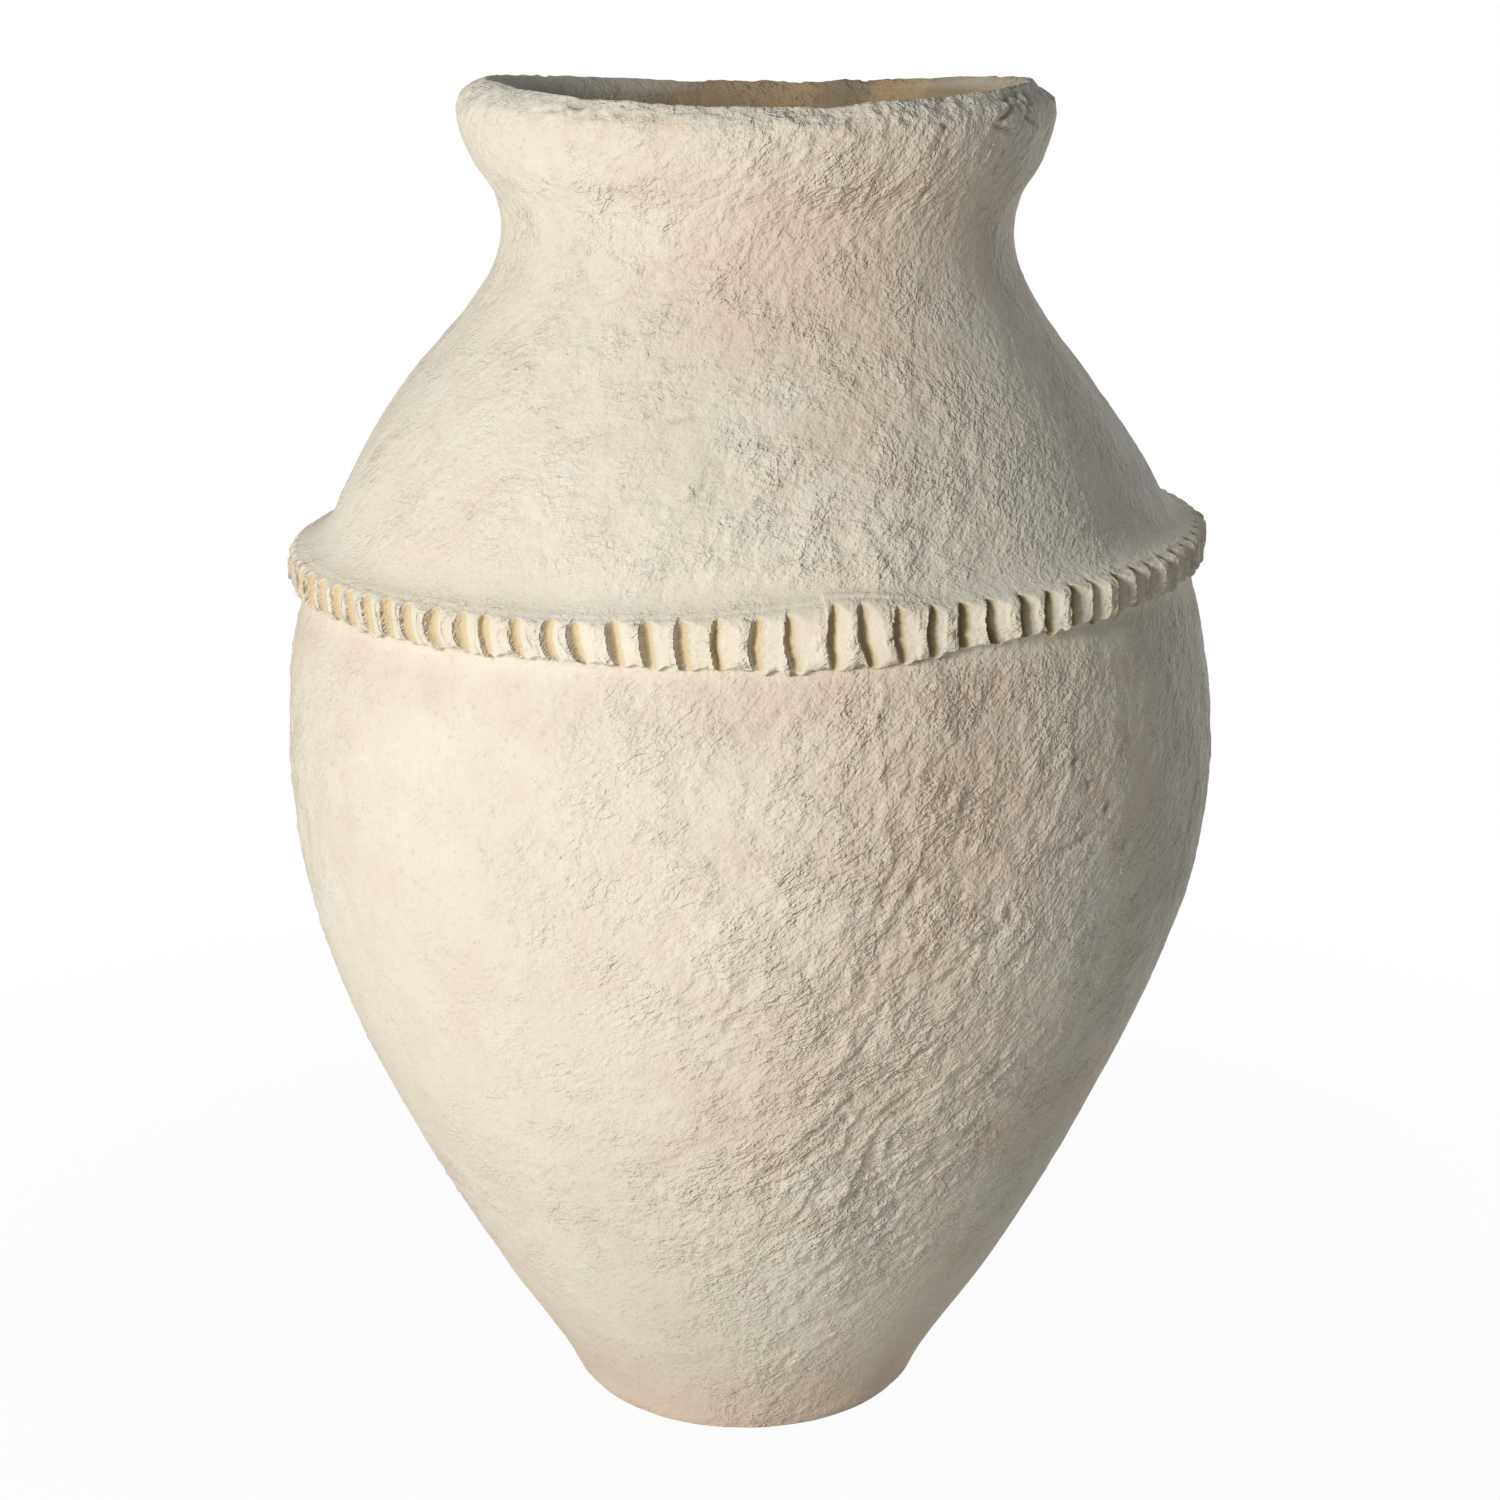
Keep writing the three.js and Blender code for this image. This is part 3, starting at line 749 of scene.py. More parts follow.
# %% Floor disc
FOOT_EDGE_ROUND = 3.5
FOOT_EDGE_ARC = 75.0
EDGE_STEPS = 8
DISC_STEP = 3.0
SIDE_STEP = 1.6
SPIRAL_HEIGHT = 0.8
SPIRAL_PITCH = 11
SPIRAL_HILLS = (25, 91)
SPIRAL_START = (2, 14)
SPIRAL_END = (60, 68)
SPIRAL_FINE = 0.3


def floor_points():
    """Underside, rounded edge, flare up to the wall, and the upper face."""
    flat = FOOT[1] - FOOT_EDGE_ROUND
    under = [(radius, 0, 0, -1, 0.0) for radius in np.arange(0, flat, DISC_STEP)]
    edge = []
    for t in np.linspace(0, 1, EDGE_STEPS):
        angle = math.radians(-90 + FOOT_EDGE_ARC * t)
        edge.append((flat + FOOT_EDGE_ROUND * math.cos(angle), FOOT_EDGE_ROUND * (1 + math.sin(angle)),
                     math.cos(angle), math.sin(angle), t))
    side = [outer_point(height) for height in heights(FOOT_EDGE_ROUND, FLOOR_TOP[0], SIDE_STEP)[1:]]
    inner_edge = inner_point(FLOOR_TOP[0])[0]
    joint = joint_points(side[-1], (inner_edge, FLOOR_TOP[0]))
    upper = [(radius, FLOOR_TOP[0], 0, 1, 0.0) for radius in np.arange(inner_edge, 0, -DISC_STEP)]
    return under + edge + side + joint + upper + [(0, FLOOR_TOP[0], 0, 1, 0.0)]


def floor_disc():
    """The floor, flat underneath, with the finger's spiral on top."""
    piece = spin_profile("floor_disc", floor_points())
    places = read_places(piece)
    outward = outward_directions(piece, places)
    coat = read_values(piece, "coat")
    note_joints(piece, places, coat, (FLOOR_TOP[0],))
    radius = from_axis(places)
    upper = (places[:, 2] > FLOOR_TOP[0] - 0.1) & (radius < inner_point(FLOOR_TOP[0])[0])
    relief, fine = coat_relief(places, outward)
    spiral = SPIRAL_HEIGHT * np.sin(2 * math.pi * radius / SPIRAL_PITCH + around(places))
    spiral += hills(places, *SPIRAL_HILLS)
    spiral *= smooth(radius, *SPIRAL_START) * (1 - smooth(radius, *SPIRAL_END))
    amount = coat * relief + upper * spiral
    write_places(piece, uneven(places + outward * amount[:, None]))
    keep_values(piece, fine=coat * fine + upper * spiral * SPIRAL_FINE,
                rough=roughness(places), tint=tint(places))
    return finish_mesh(piece)


floor = floor_disc()

# %% [markdown]
# ## The notched strip
#
# A flat strip of clay covers the seam. Its face stands upright, and above it a ledge was smoothed into
# the shoulder with a wet finger. A round stick was then pressed into the face ninety-three times, so each
# mark is a smooth trough with torn, crumbly crests between. Two lengths make the ring. The strip is spun
# like the wall, and each point that stands further out than the stick allows is pushed back to it.

# %% Section of the strip, bedded a little way into the wall
# The two rounded edges are given by their start and end in degrees and their steps
STRIP_TOP_ROUND = 4.5
STRIP_FOOT_ROUND = 4.0
FOOT_ARC = (-48, 0, 8)
TOP_ARC = (0, 90, 9)
FACE_POINTS = 17
UNDER_POINTS = 8
LEDGE_POINTS = 18
BED_POINTS = 6
FACE_BULGE = 0.013
LEDGE_RISE = 3.0
FILLET_RISE = 14.0
FOOT_FILLET = 8.0
FEATHER = -0.35
BED_DEPTH = 2.5
STRIP_TOP_HEIGHT = STRIP_FOOT_HEIGHT + STRIP_FACE
FILLET_TOP = STRIP_TOP_HEIGHT + LEDGE_RISE + FILLET_RISE
FILLET_FOOT = STRIP_FOOT_HEIGHT - FOOT_FILLET


def arc_points(centre_radius, centre_height, size, start, end, steps):
    """Points on an arc of the section, raised square to it."""
    angles = np.radians(np.linspace(start, end, steps + 1))
    return [(centre_radius + size * math.cos(a), centre_height + size * math.sin(a),
             math.cos(a), math.sin(a), 1.0) for a in angles]


def wall_point(height, lift):
    """A point above or below the outline of the wall."""
    radius, _, across, up, _ = outer_point(height)
    return radius + lift * across, height + lift * up, across, up, 1.0


def fillet_points(start, middle, corner, end, steps):
    """Points on a smooth curve between two ends, raised square to it."""
    points = []
    for t in np.linspace(0, 1, steps):
        spot = (1 - t)**3 * start + 3 * t * (1 - t)**2 * middle + 3 * t * t * (1 - t) * corner + t**3 * end
        along = (1 - t)**2 * (middle - start) + 2 * t * (1 - t) * (corner - middle) + t * t * (end - corner)
        size = np.hypot(*along)
        points.append((*spot, along[1] / size, -along[0] / size, 1.0))
    return points


def strip_section():
    """Fillet, underside, face, rounded top edge, ledge and fillet, then back along the bed."""
    face_foot = STRIP_FOOT_HEIGHT + STRIP_FOOT_ROUND
    face_top = STRIP_TOP_HEIGHT - STRIP_TOP_ROUND
    foot = arc_points(CREST_RADIUS - STRIP_FOOT_ROUND, face_foot, STRIP_FOOT_ROUND, *FOOT_ARC)
    face = [(CREST_RADIUS, height, 1, 0, 1.0)
            for height in np.linspace(face_foot, face_top, FACE_POINTS)[1:-1]]
    top = arc_points(CREST_RADIUS - STRIP_TOP_ROUND, face_top, STRIP_TOP_ROUND, *TOP_ARC)
    under_start = np.array(wall_point(FILLET_FOOT, FEATHER)[:2])
    under_corner = np.array(wall_point(STRIP_FOOT_HEIGHT - 1.0, 1.0)[:2])
    under = fillet_points(under_start, under_corner, under_corner, np.array(foot[0][:2]), UNDER_POINTS)[:-1]
    ledge_start = np.array(top[-1][:2])
    corner = np.array(wall_point(STRIP_TOP_HEIGHT + LEDGE_RISE, 0)[:2])
    middle = (ledge_start + corner) / 2 + [0, -LEDGE_RISE / 4]
    feather = np.array(wall_point(FILLET_TOP, FEATHER)[:2])
    ledge = fillet_points(ledge_start, middle, corner, feather, LEDGE_POINTS)[1:]
    bed = [wall_point(height, -BED_DEPTH)[:2] + (0, 0, 0.0)
           for height in np.linspace(FILLET_TOP, FILLET_FOOT, BED_POINTS)]
    return under + foot + face + top + ledge + bed


print("points of the section:", len(strip_section()))


# %% Marks of the stick
MARK_COUNT = 93
MARK_PITCH = 360 / MARK_COUNT
MARK_STEEP = 2.0
MARK_RAMP = 9.6
RAMP_BEND = 1.3
MARK_WEB = 2.9
MARK_WEB_SPREAD = 0.7
DEEPER_ON_THE_RIGHT = 0.4
MARK_BOW = 0.03
MARK_BOW_SPREAD = 0.8
FOOT_SHARE = 0.9
MARK_LEAN = -7.0
MARK_LEAN_WANDER = 8.0
MARK_SLIP = 1.5
MARK_SPREAD = 0.17
FRONT_JOIN_ANGLE = 8.6
BACK_JOIN_MARK = MARK_COUNT // 2
SLICES_PER_MARK = 28
MARK_CROSSING = (-1.4, 1.6)
FAR_OFF = 1e9
DRAW_SEED = 93
draw = np.random.default_rng(DRAW_SEED)
mark_slip, mark_lean, mark_web, mark_size, mark_bow, tooth_level = draw.uniform(-1, 1, (6, MARK_COUNT))
drip_size = draw.uniform(0, 1, MARK_COUNT)
tooth_hang = draw.uniform(-1, 1, MARK_COUNT)


def press(places):
    """For each place: how far the stick went in there, from 0 to 1, how many millimetres it lies outside
    the marks, its distance to the right of the deepest line, and the number of the mark."""
    turn = np.degrees(around(places)) - FRONT_JOIN_ANGLE
    up = places[:, 2] - STRIP_MIDDLE
    depth, off_line = np.zeros((2, len(places)))
    outside = np.full(len(places), FAR_OFF)
    nearest = np.zeros(len(places), int)
    for shift in (-1, 0, 1):
        mark = (np.round(turn / MARK_PITCH).astype(int) + shift) % MARK_COUNT
        lean = np.tan(np.radians(MARK_LEAN + MARK_LEAN_WANDER * mark_lean[mark]))
        bow = MARK_BOW * (1 + MARK_BOW_SPREAD * mark_bow[mark]) * up**2
        middle = MARK_SLIP * mark_slip[mark] + up * lean + bow
        off = (turn - mark * MARK_PITCH + 180) % 360 - 180
        off = np.radians(off) * CREST_RADIUS - middle
        half = np.where(off < 0, MARK_STEEP, MARK_RAMP) * (1 + MARK_SPREAD * mark_size[mark])
        share = np.clip(np.abs(off) / half, 0, 1)
        into = np.where(off < 0, np.sqrt(1 - share**2), (1 - share)**RAMP_BEND)
        closer = np.abs(off) - half < outside
        outside[closer] = (np.abs(off) - half)[closer]
        depth[closer] = into[closer]
        off_line[closer] = off[closer]
        nearest[closer] = mark[closer]
    return depth, outside, off_line, nearest


def of_tooth(values, mark, off_line):
    """A value of each tooth, which changes across the mark from the tooth on its left to the next."""
    to_right = smooth(off_line, *MARK_CROSSING)
    return values[mark - 1] * (1 - to_right) + values[mark] * to_right


print("marks:", MARK_COUNT, "apart, mm:", round(math.radians(MARK_PITCH) * CREST_RADIUS, 1))


# %% Press the marks, tear the crests and make the two lengths
FACE_FADE = (CREST_RADIUS - 6.5, CREST_RADIUS - 4)
FOOT_SHARE_FADE = (STRIP_FOOT_HEIGHT - 0.5, STRIP_MIDDLE)
PLATE_HILLS = (3.5, 6, 112)
PLATE_FADE = (-3.2, -0.6)
STEEP_EDGE = (-0.2, 0.5)
CREST_TEAR = 0.75
TEAR_HILLS = ((1, 5.5, 111), (0.5, 2.75, 112))
TEAR_BASE = 0.15
CREST_CHIP = 1.35
CHIP_HILLS = ((1, 5.0, 121), (0.3, 3.2, 122))
CHIP_FADE = (0.12, 0.4)
CHIP_EDGE = (0.8, 2.2)
CHIP_ELSEWHERE = 0.25
SQUEEZED_LIP = 0.35
SQUEEZED_HILLS = (9, 131)
SQUEEZED_FADE = (-0.2, 0.3)
SQUEEZED_REACH = 0.5
TOOTH_LEVEL = 0.9
CALM_TOP = 0.8
CALM_TOP_FADE = (STRIP_TOP_HEIGHT - 4, STRIP_TOP_HEIGHT)
WALL_MATCH = (0.4, 4.0)
STRIP_HILLS = ((0.5, 22, 101), (0.12, 4, 142))
RUB_LONG = (0.2, 3.0, 151)
RUB_LONG_FLATNESS = 0.4
RUB_HILLS = (0.25, 8, 152)
EDGE_SOFTNESS = 0.5
DRIP = 2.7
DRIP_LINE = 1.6
DRIP_REACH = 2.3
DRIP_FADE = (STRIP_FOOT_HEIGHT, STRIP_FOOT_HEIGHT + 6)
TOOTH_HANG = 1.5
TOOTH_HANG_FADE = (STRIP_FOOT_HEIGHT, STRIP_FOOT_HEIGHT + 7)
HANG_LIFT = (2.0, 5.0)
JOIN_LUMP_RIGHT = 2.6
JOIN_LUMP_LEFT = 1.2
JOIN_LUMP_LENGTH = 42.0
STRIP_ROUGH = 0.2
# Ochre towards the bottom of the marks, partly painted warm shade: where it fades in on the steep side and on
# the ramp
DEEP_TONE_ON_STEEP = (0.05, 0.5)
DEEP_TONE_ON_RAMP = (0.5, 1.0)
# Painted shade in the bottoms of the marks on the right: its amount, and where it fades in by depth and by
# side
RIGHT_MARK_SHADE = 1.5
RIGHT_MARK_SHADE_DEPTH = (0.35, 0.85)
RIGHT_MARK_SHADE_SIDE = (0.05, 0.6)
CUT_FADE = (0.4, 1.8)


def softer_min(first, second, blend):
    """The smaller of two values, with the corner between them rounded."""
    share = np.clip(0.5 + 0.5 * (second - first) / blend, 0, 1)
    return second * (1 - share) + first * share - blend * share * (1 - share)


def crumbled(places, outside, off_line, mark):
    """What the pull of the stick did to the crests: it tore them and chipped the edges by its steep
    side, and it left a low squeezed lip beside each mark."""
    tear = CREST_TEAR * (layers(places, TEAR_HILLS) + TEAR_BASE)
    at_edge = smooth(off_line, 0, -MARK_STEEP - 0.5) * (1 - smooth(outside, *CHIP_EDGE))
    chip = CREST_CHIP * smooth(layers(places, CHIP_HILLS), *CHIP_FADE)
    squeezed = SQUEEZED_LIP * np.exp(-((outside - SQUEEZED_REACH) / SQUEEZED_REACH)**2)
    squeezed = squeezed * smooth(hills(places, *SQUEEZED_HILLS), *SQUEEZED_FADE)
    chip = chip * (CHIP_ELSEWHERE + (1 - CHIP_ELSEWHERE) * at_edge)
    return tear + squeezed - chip + TOOTH_LEVEL * of_tooth(tooth_level, mark, off_line)


def trough_radius(places, depth, mark, mark_share):
    """The distance from the axis to which the stick cut the clay, and far off where it didn't go."""
    full_depth = (STRIP_PROUD - MARK_WEB - MARK_WEB_SPREAD * mark_web[mark]) * mark_share
    full_depth *= 1 + DEEPER_ON_THE_RIGHT * np.sin(around(places))
    rub = layers(places, [RUB_HILLS], layers(places * [1, 1, RUB_LONG_FLATNESS], [RUB_LONG]))
    return np.where(depth > 0, CREST_RADIUS - full_depth * depth + swell(places) + rub, FAR_OFF)


def dragged_down(height, off_line, mark, crest):
    """How far the stick dragged drips of clay and the feet of the teeth down over the lower edge."""
    at_drip = np.exp(-((off_line - DRIP_LINE) / DRIP_REACH)**2) * (1 - smooth(height, *DRIP_FADE))
    low = 1 - smooth(height, *TOOTH_HANG_FADE)
    hang = of_tooth(tooth_hang, mark, off_line)
    return DRIP * drip_size[mark] * at_drip + TOOTH_HANG * hang * low * crest


def strip_length(name, start, sweep, lump):
    """One length of the strip from its start angle, swollen a little at the front join."""
    marks = round(sweep / MARK_PITCH)
    piece = spin_profile(name, strip_section(), start, sweep, sectors=marks, slices=SLICES_PER_MARK)
    places = read_places(piece)
    outward = outward_directions(piece, places)
    coat = read_values(piece, "coat")
    height = places[:, 2]
    radius = from_axis(places)
    lift = radius - outline(height)[0]
    face = smooth(radius, *FACE_FADE)
    depth, outside, off_line, mark = press(places)
    mark_share = 1 - (1 - FOOT_SHARE) * (1 - smooth(height, *FOOT_SHARE_FADE))
    plate = smooth(layers(places, [PLATE_HILLS], outside), *PLATE_FADE)
    off_crest = 1 - np.where(off_line > 0, plate, smooth(outside, *STEEP_EDGE))
    crest = (1 - off_crest * mark_share) * face
    torn = crest * (1 - CALM_TOP * smooth(height, *CALM_TOP_FADE))

    # Near its feathered edges the strip has the relief of the wall, and a softer one further out
    bulge = -FACE_BULGE * (height - STRIP_MIDDLE)**2 * face
    wall_relief, wall_fine = coat_relief(places, outward)
    matched = 1 - smooth(lift, *WALL_MATCH)
    broad = matched * wall_relief + (1 - matched) * layers(places, STRIP_HILLS, swell(places))
    crumble = crumbled(places, outside, off_line, mark) * torn
    raised = places + outward * (coat * (broad + crumble + bulge))[:, None]

    # The stick goes in after the strip is laid, so it also cuts what was raised
    raised_radius = from_axis(raised)
    pressed = softer_min(raised_radius, trough_radius(places, depth, mark, mark_share), EDGE_SOFTNESS)
    raised[:, :2] *= np.where(coat > 0.5, pressed / raised_radius, 1)[:, None]
    raised[:, 2] -= dragged_down(height, off_line, mark, crest) * smooth(lift, *HANG_LIFT)

    # The ends of the lengths were thickened where they meet at the front
    from_join = np.abs(around(places) - math.radians(FRONT_JOIN_ANGLE)) * CREST_RADIUS
    lump_here = lump * (1 - smooth(from_join, 0, JOIN_LUMP_LENGTH))
    lump_here = lump_here * smooth(height, STRIP_MIDDLE, STRIP_TOP_HEIGHT)
    raised[:, 2] += lump_here * smooth(lift, 0, STRIP_PROUD)
    write_places(piece, uneven(raised))

    # Ochre towards the bottom of the marks, partly painted warm shade, and above 1 for painted dark shade in
    # their bottoms, on the right
    deep_tone = np.where(off_line < 0, smooth(depth, *DEEP_TONE_ON_STEEP), smooth(depth, *DEEP_TONE_ON_RAMP))
    shade_on_right = RIGHT_MARK_SHADE * smooth(depth, *RIGHT_MARK_SHADE_DEPTH) * smooth(np.sin(around(places)), *RIGHT_MARK_SHADE_SIDE)
    keep_values(piece, fine=matched * wall_fine,
                trough=(deep_tone + shade_on_right) * smooth(raised_radius - pressed, *CUT_FADE),
                rough=matched * roughness(places) + (1 - matched) * (STRIP_ROUGH + (1 - STRIP_ROUGH) * torn),
                tint=tint(places))
    return finish_mesh(piece)


back_join = FRONT_JOIN_ANGLE + BACK_JOIN_MARK * MARK_PITCH
right_sweep = back_join - FRONT_JOIN_ANGLE
strip_right = strip_length("strip_right", FRONT_JOIN_ANGLE, right_sweep, JOIN_LUMP_RIGHT)
strip_left = strip_length("strip_left", back_join, 360 - right_sweep, JOIN_LUMP_LEFT)

# %% [markdown]
# ## Hiding the joints
#
# Where two rounds meet, each mesh works out its shading from its own faces alone, so a thin line would
# show. The coat was rubbed over the joints and shows none, so its points on a joint get the mean of the
# directions on both sides.

# %% One shading direction on both sides of each joint
def corner_data(piece):
    """The shading direction of each face corner, its point, and whether its face lies in the coat."""
    mesh = piece.data
    points = np.empty(len(mesh.loops), np.int32)
    mesh.loops.foreach_get("vertex_index", points)
    directions = np.empty(len(mesh.loops) * 3, np.float32)
    mesh.corner_normals.foreach_get("vector", directions)
    starts = np.empty(len(mesh.polygons), np.int32)
    mesh.polygons.foreach_get("loop_start", starts)
    coated = np.minimum.reduceat(read_values(piece, "coat")[points], starts) > 0.5
    corners = np.diff(np.append(starts, len(points)))
    return directions.reshape(-1, 3), points, np.repeat(coated, corners)


def match_joints():
    """Averages the shading of the coat across every joint."""
    pieces = {piece.name: piece for noted in joints.values() for piece, _ in noted}
    data = {name: corner_data(piece) for name, piece in pieces.items()}
    for noted in joints.values():
        if len(noted) < 2:
            continue
        total = 0
        sides = []
        for piece, ring in noted:
            directions, points, coated = data[piece.name]
            spot_of_point = np.full(len(piece.data.vertices), -1)
            spot_of_point[ring] = np.arange(len(ring))
            spots = spot_of_point[points]
            chosen = np.flatnonzero(coated & (spots >= 0))
            mean = np.zeros((len(ring), 3))
            np.add.at(mean, spots[chosen], directions[chosen])
            total = total + mean / np.linalg.norm(mean, axis=1)[:, None]
            sides.append((directions, chosen, spots[chosen]))
        total /= np.linalg.norm(total, axis=1)[:, None]
        for directions, chosen, spots in sides:
            directions[chosen] = total[spots]
    for name, piece in pieces.items():
        piece.data.normals_split_custom_set(data[name][0].tolist())
    return len(pieces)


print("pieces with matched joints:", match_joints())

# %% [markdown]
# ## Finishes
#
# Colours are written as they look on a screen and turned to the linear values that Blender wants. One
# small function adds a node with its settings and links.

# %% Colours and nodes
def colour(code):
    """A linear colour from an sRGB hex code."""
    parts = [int(code[i:i + 2], 16) / 255 for i in (1, 3, 5)]
    return [p / 12.92 if p <= 0.04045 else ((p + 0.055) / 1.055)**2.4 for p in parts] + [1.0]


def add(tree, kind, links=(), **settings):
    """Adds a node, sets what is named, fills its inputs with values or with other nodes' outputs, and
    gives back its first output."""
    node = tree.nodes.new(kind)
    for key, value in settings.items():
        setattr(node, key, value)
    for key, value in dict(links).items():
        if isinstance(value, bpy.types.NodeSocket):
            tree.links.new(value, node.inputs[key])
        else:
            node.inputs[key].default_value = value
    return next((output for output in node.outputs if output.enabled), None)


def per_metre(size):
    """The scale of a pattern whose hills are this many millimetres apart."""
    return 1 / (size * MM)


def new_material(name):
    """An empty material."""
    material = bpy.data.materials.new(name)
    material.use_nodes = True
    material.node_tree.nodes.clear()
    return material, material.node_tree


print("lime, linear:", [round(v, 3) for v in colour("#E8DFCC")])

# %% [markdown]
# ### What lime wash and earthenware look like
#
# Lime wash is slaked lime and marble dust in water. It dries to a dead matt, chalky skin, so its
# roughness is nearly 1 and it scatters light as dust does. Its colour drifts from cream to a pinkish
# beige and a greenish grey, its ridges are paler where they were rubbed, and dust stays in the hollows.
# Earthenware fired in smoke is tan, with ochre and grey-green clouds.

# %% Colour of the lime wash
CREAM = colour("#E8DFCC")
CHALK = colour("#EFE8DA")
BLUSH_AND_UNDER_STRIP_SHADE = colour("#E3CFB9")
LICHEN_GREY_AND_LIP_SHADE = colour("#D9D4C4")
DUST = colour("#B3A58B")
MOTTLE_SHARE = 1.6


def lay_coats(tree, skin, coats):
    """Lays tones on a skin. Each row is a tone, the value that brings it, where that value starts and
    where it has its full effect, and how much of the tone there is then."""
    for tone, value, start, full, most in coats:
        share = add(tree, "ShaderNodeMapRange",
                    {"Value": value, "From Min": start, "From Max": full, "To Max": most})
        skin = add(tree, "ShaderNodeMix", {0: share, 6: skin, 7: tone}, data_type="RGBA")
    return skin


def lime_colour(tree, place):
    """Cream that drifts to pinkish beige and greenish grey, dusty in its hollows. The pink and the grey also
    carry painted shade under the strip and on the top of the lip.
    """
    chalky, mottle, speckle = (
        add(tree, "ShaderNodeTexNoise", {"Vector": place, "Scale": per_metre(size), "Detail": detail})
        for size, detail in ((60, 4.0), (14, 3.0), (2.6, 2.0)))
    tinted, fine = (add(tree, "ShaderNodeAttribute", attribute_name=name).node.outputs["Fac"]
                    for name in ("tint", "fine"))
    tinted = add(tree, "ShaderNodeMath", {0: mottle, 1: MOTTLE_SHARE, 2: tinted}, operation="MULTIPLY_ADD")
    # The pink tone also carries painted shade under the strip, and the grey tone carries painted shade on the
    # top of the lip
    return lay_coats(tree, CREAM, [
        (CHALK, chalky, 0.42, 0.68, 0.6), (BLUSH_AND_UNDER_STRIP_SHADE, tinted, 0.85, 2.1, 0.8), (LICHEN_GREY_AND_LIP_SHADE, tinted, 0.65, -0.5, 0.7),
        (DUST, fine, 0.0, -1.6, 0.62), (DUST, speckle, 0.6, 0.76, 0.25),
    ])


# %% [markdown]
# The finest fibres, creases, grit and pits are a few tenths of a millimetre high, too fine for the mesh,
# so they are worked out as a height and shown by bump. The place is turned about the axis as it rises,
# in step with the strokes, which draws a plain noise out along them.

# %% Height of the finest relief
FIBRE_HEIGHT = 2.15
GRIT_HEIGHT = 1.15
GRIT_SIZE = 1.5
CREASE_HEIGHT = 0.38
PIT_DEPTH = 0.6
PIT_EDGE_FINE = (0.7, 0.76)
CREASE_MIDDLE = 0.5
CREASE_HALF = 0.036
CREASE_PLACES = (0.43, 0.58)
FIBRE_TURN = 4.0
CREASE_TURN = 5.5
STROKE_BEND = 14.0
STROKE_BEND_SIZE = 60
PATCHY = (0.75, 1.25)
SMOOTH_SHARE = 0.22


def stroke_place(tree, place, turn_per_metre):
    """The place in a frame that twists with the strokes, and wanders a little as they do."""
    bend = add(tree, "ShaderNodeTexNoise",
               {"Vector": place, "Scale": per_metre(STROKE_BEND_SIZE), "Detail": 1.0}).node.outputs["Color"]
    bend = add(tree, "ShaderNodeVectorMath", {0: bend, 1: [STROKE_BEND * MM] * 3, 2: place},
               operation="MULTIPLY_ADD")
    height = add(tree, "ShaderNodeSeparateXYZ", {"Vector": bend}).node.outputs["Z"]
    turn = add(tree, "ShaderNodeMath", {0: height, 1: -turn_per_metre}, operation="MULTIPLY")
    return add(tree, "ShaderNodeVectorRotate", {"Vector": bend, "Angle": turn}, rotation_type="Z_AXIS")


def coat_height(tree, place, rough):
    """Height of fibres, creases, grit and pits, in millimetres."""
    along_fibres = stroke_place(tree, place, FIBRE_TURN)
    along_creases = stroke_place(tree, place, CREASE_TURN)
    fibre, grit, crease, where, pit = (
        add(tree, "ShaderNodeTexNoise",
            {"Vector": spot, "Scale": per_metre(size), "Detail": detail, "Roughness": coarse})
        for spot, size, detail, coarse in (
            (along_fibres, 3.4, 2.0, 0.6), (place, GRIT_SIZE, 2.0, 0.6), (along_creases, 10, 3.0, 0.5),
            (place, 20, 2.0, 0.5), (place, 4.5, 1.0, 0.5)))
    crease = add(tree, "ShaderNodeMath", {0: crease, 1: CREASE_MIDDLE}, operation="SUBTRACT")
    crease = add(tree, "ShaderNodeMath", {0: crease}, operation="ABSOLUTE")
    crease = add(tree, "ShaderNodeMapRange", {"Value": crease, "From Min": CREASE_HALF, "From Max": 0.0})
    where = add(tree, "ShaderNodeMapRange",
                {"Value": where, "From Min": CREASE_PLACES[0], "From Max": CREASE_PLACES[1]})
    crease = add(tree, "ShaderNodeMath", {0: crease, 1: where}, operation="MULTIPLY")
    height = add(tree, "ShaderNodeMapRange", {"Value": pit, "From Min": PIT_EDGE_FINE[0],
                                              "From Max": PIT_EDGE_FINE[1], "To Max": -PIT_DEPTH})
    for part, amount in ((fibre, FIBRE_HEIGHT), (grit, GRIT_HEIGHT), (crease, CREASE_HEIGHT)):
        height = add(tree, "ShaderNodeMath", {0: part, 1: amount, 2: height}, operation="MULTIPLY_ADD")
    patchy = add(tree, "ShaderNodeMapRange", {"Value": where, "To Min": PATCHY[0], "To Max": PATCHY[1]})
    share = add(tree, "ShaderNodeMapRange", {"Value": rough, "To Min": SMOOTH_SHARE, "To Max": 1.0})
    share = add(tree, "ShaderNodeMath", {0: share, 1: patchy}, operation="MULTIPLY")
    return add(tree, "ShaderNodeMath", {0: height, 1: share}, operation="MULTIPLY")


def chalky_surface(tree, skin, height):
    """A dead matt surface of this colour, with this fine relief in millimetres."""
    relief = add(tree, "ShaderNodeBump", {"Height": height, "Distance": MM, "Strength": 1.0})
    shader = add(tree, "ShaderNodeBsdfPrincipled", {
        "Base Color": skin, "Roughness": 0.95, "Diffuse Roughness": 0.4, "Specular IOR Level": 0.2,
        "Normal": relief,
    })
    add(tree, "ShaderNodeOutputMaterial", {"Surface": shader})


print("finest grit, mm:", GRIT_SIZE)


# %% [markdown]
# ### Lime wash over earthenware
#
# The coat stops raggedly on the inner edge of the lip and at the foot, and the bare clay shows there and
# inside. The bare clay was wiped smooth, so only a little grit is left on it.

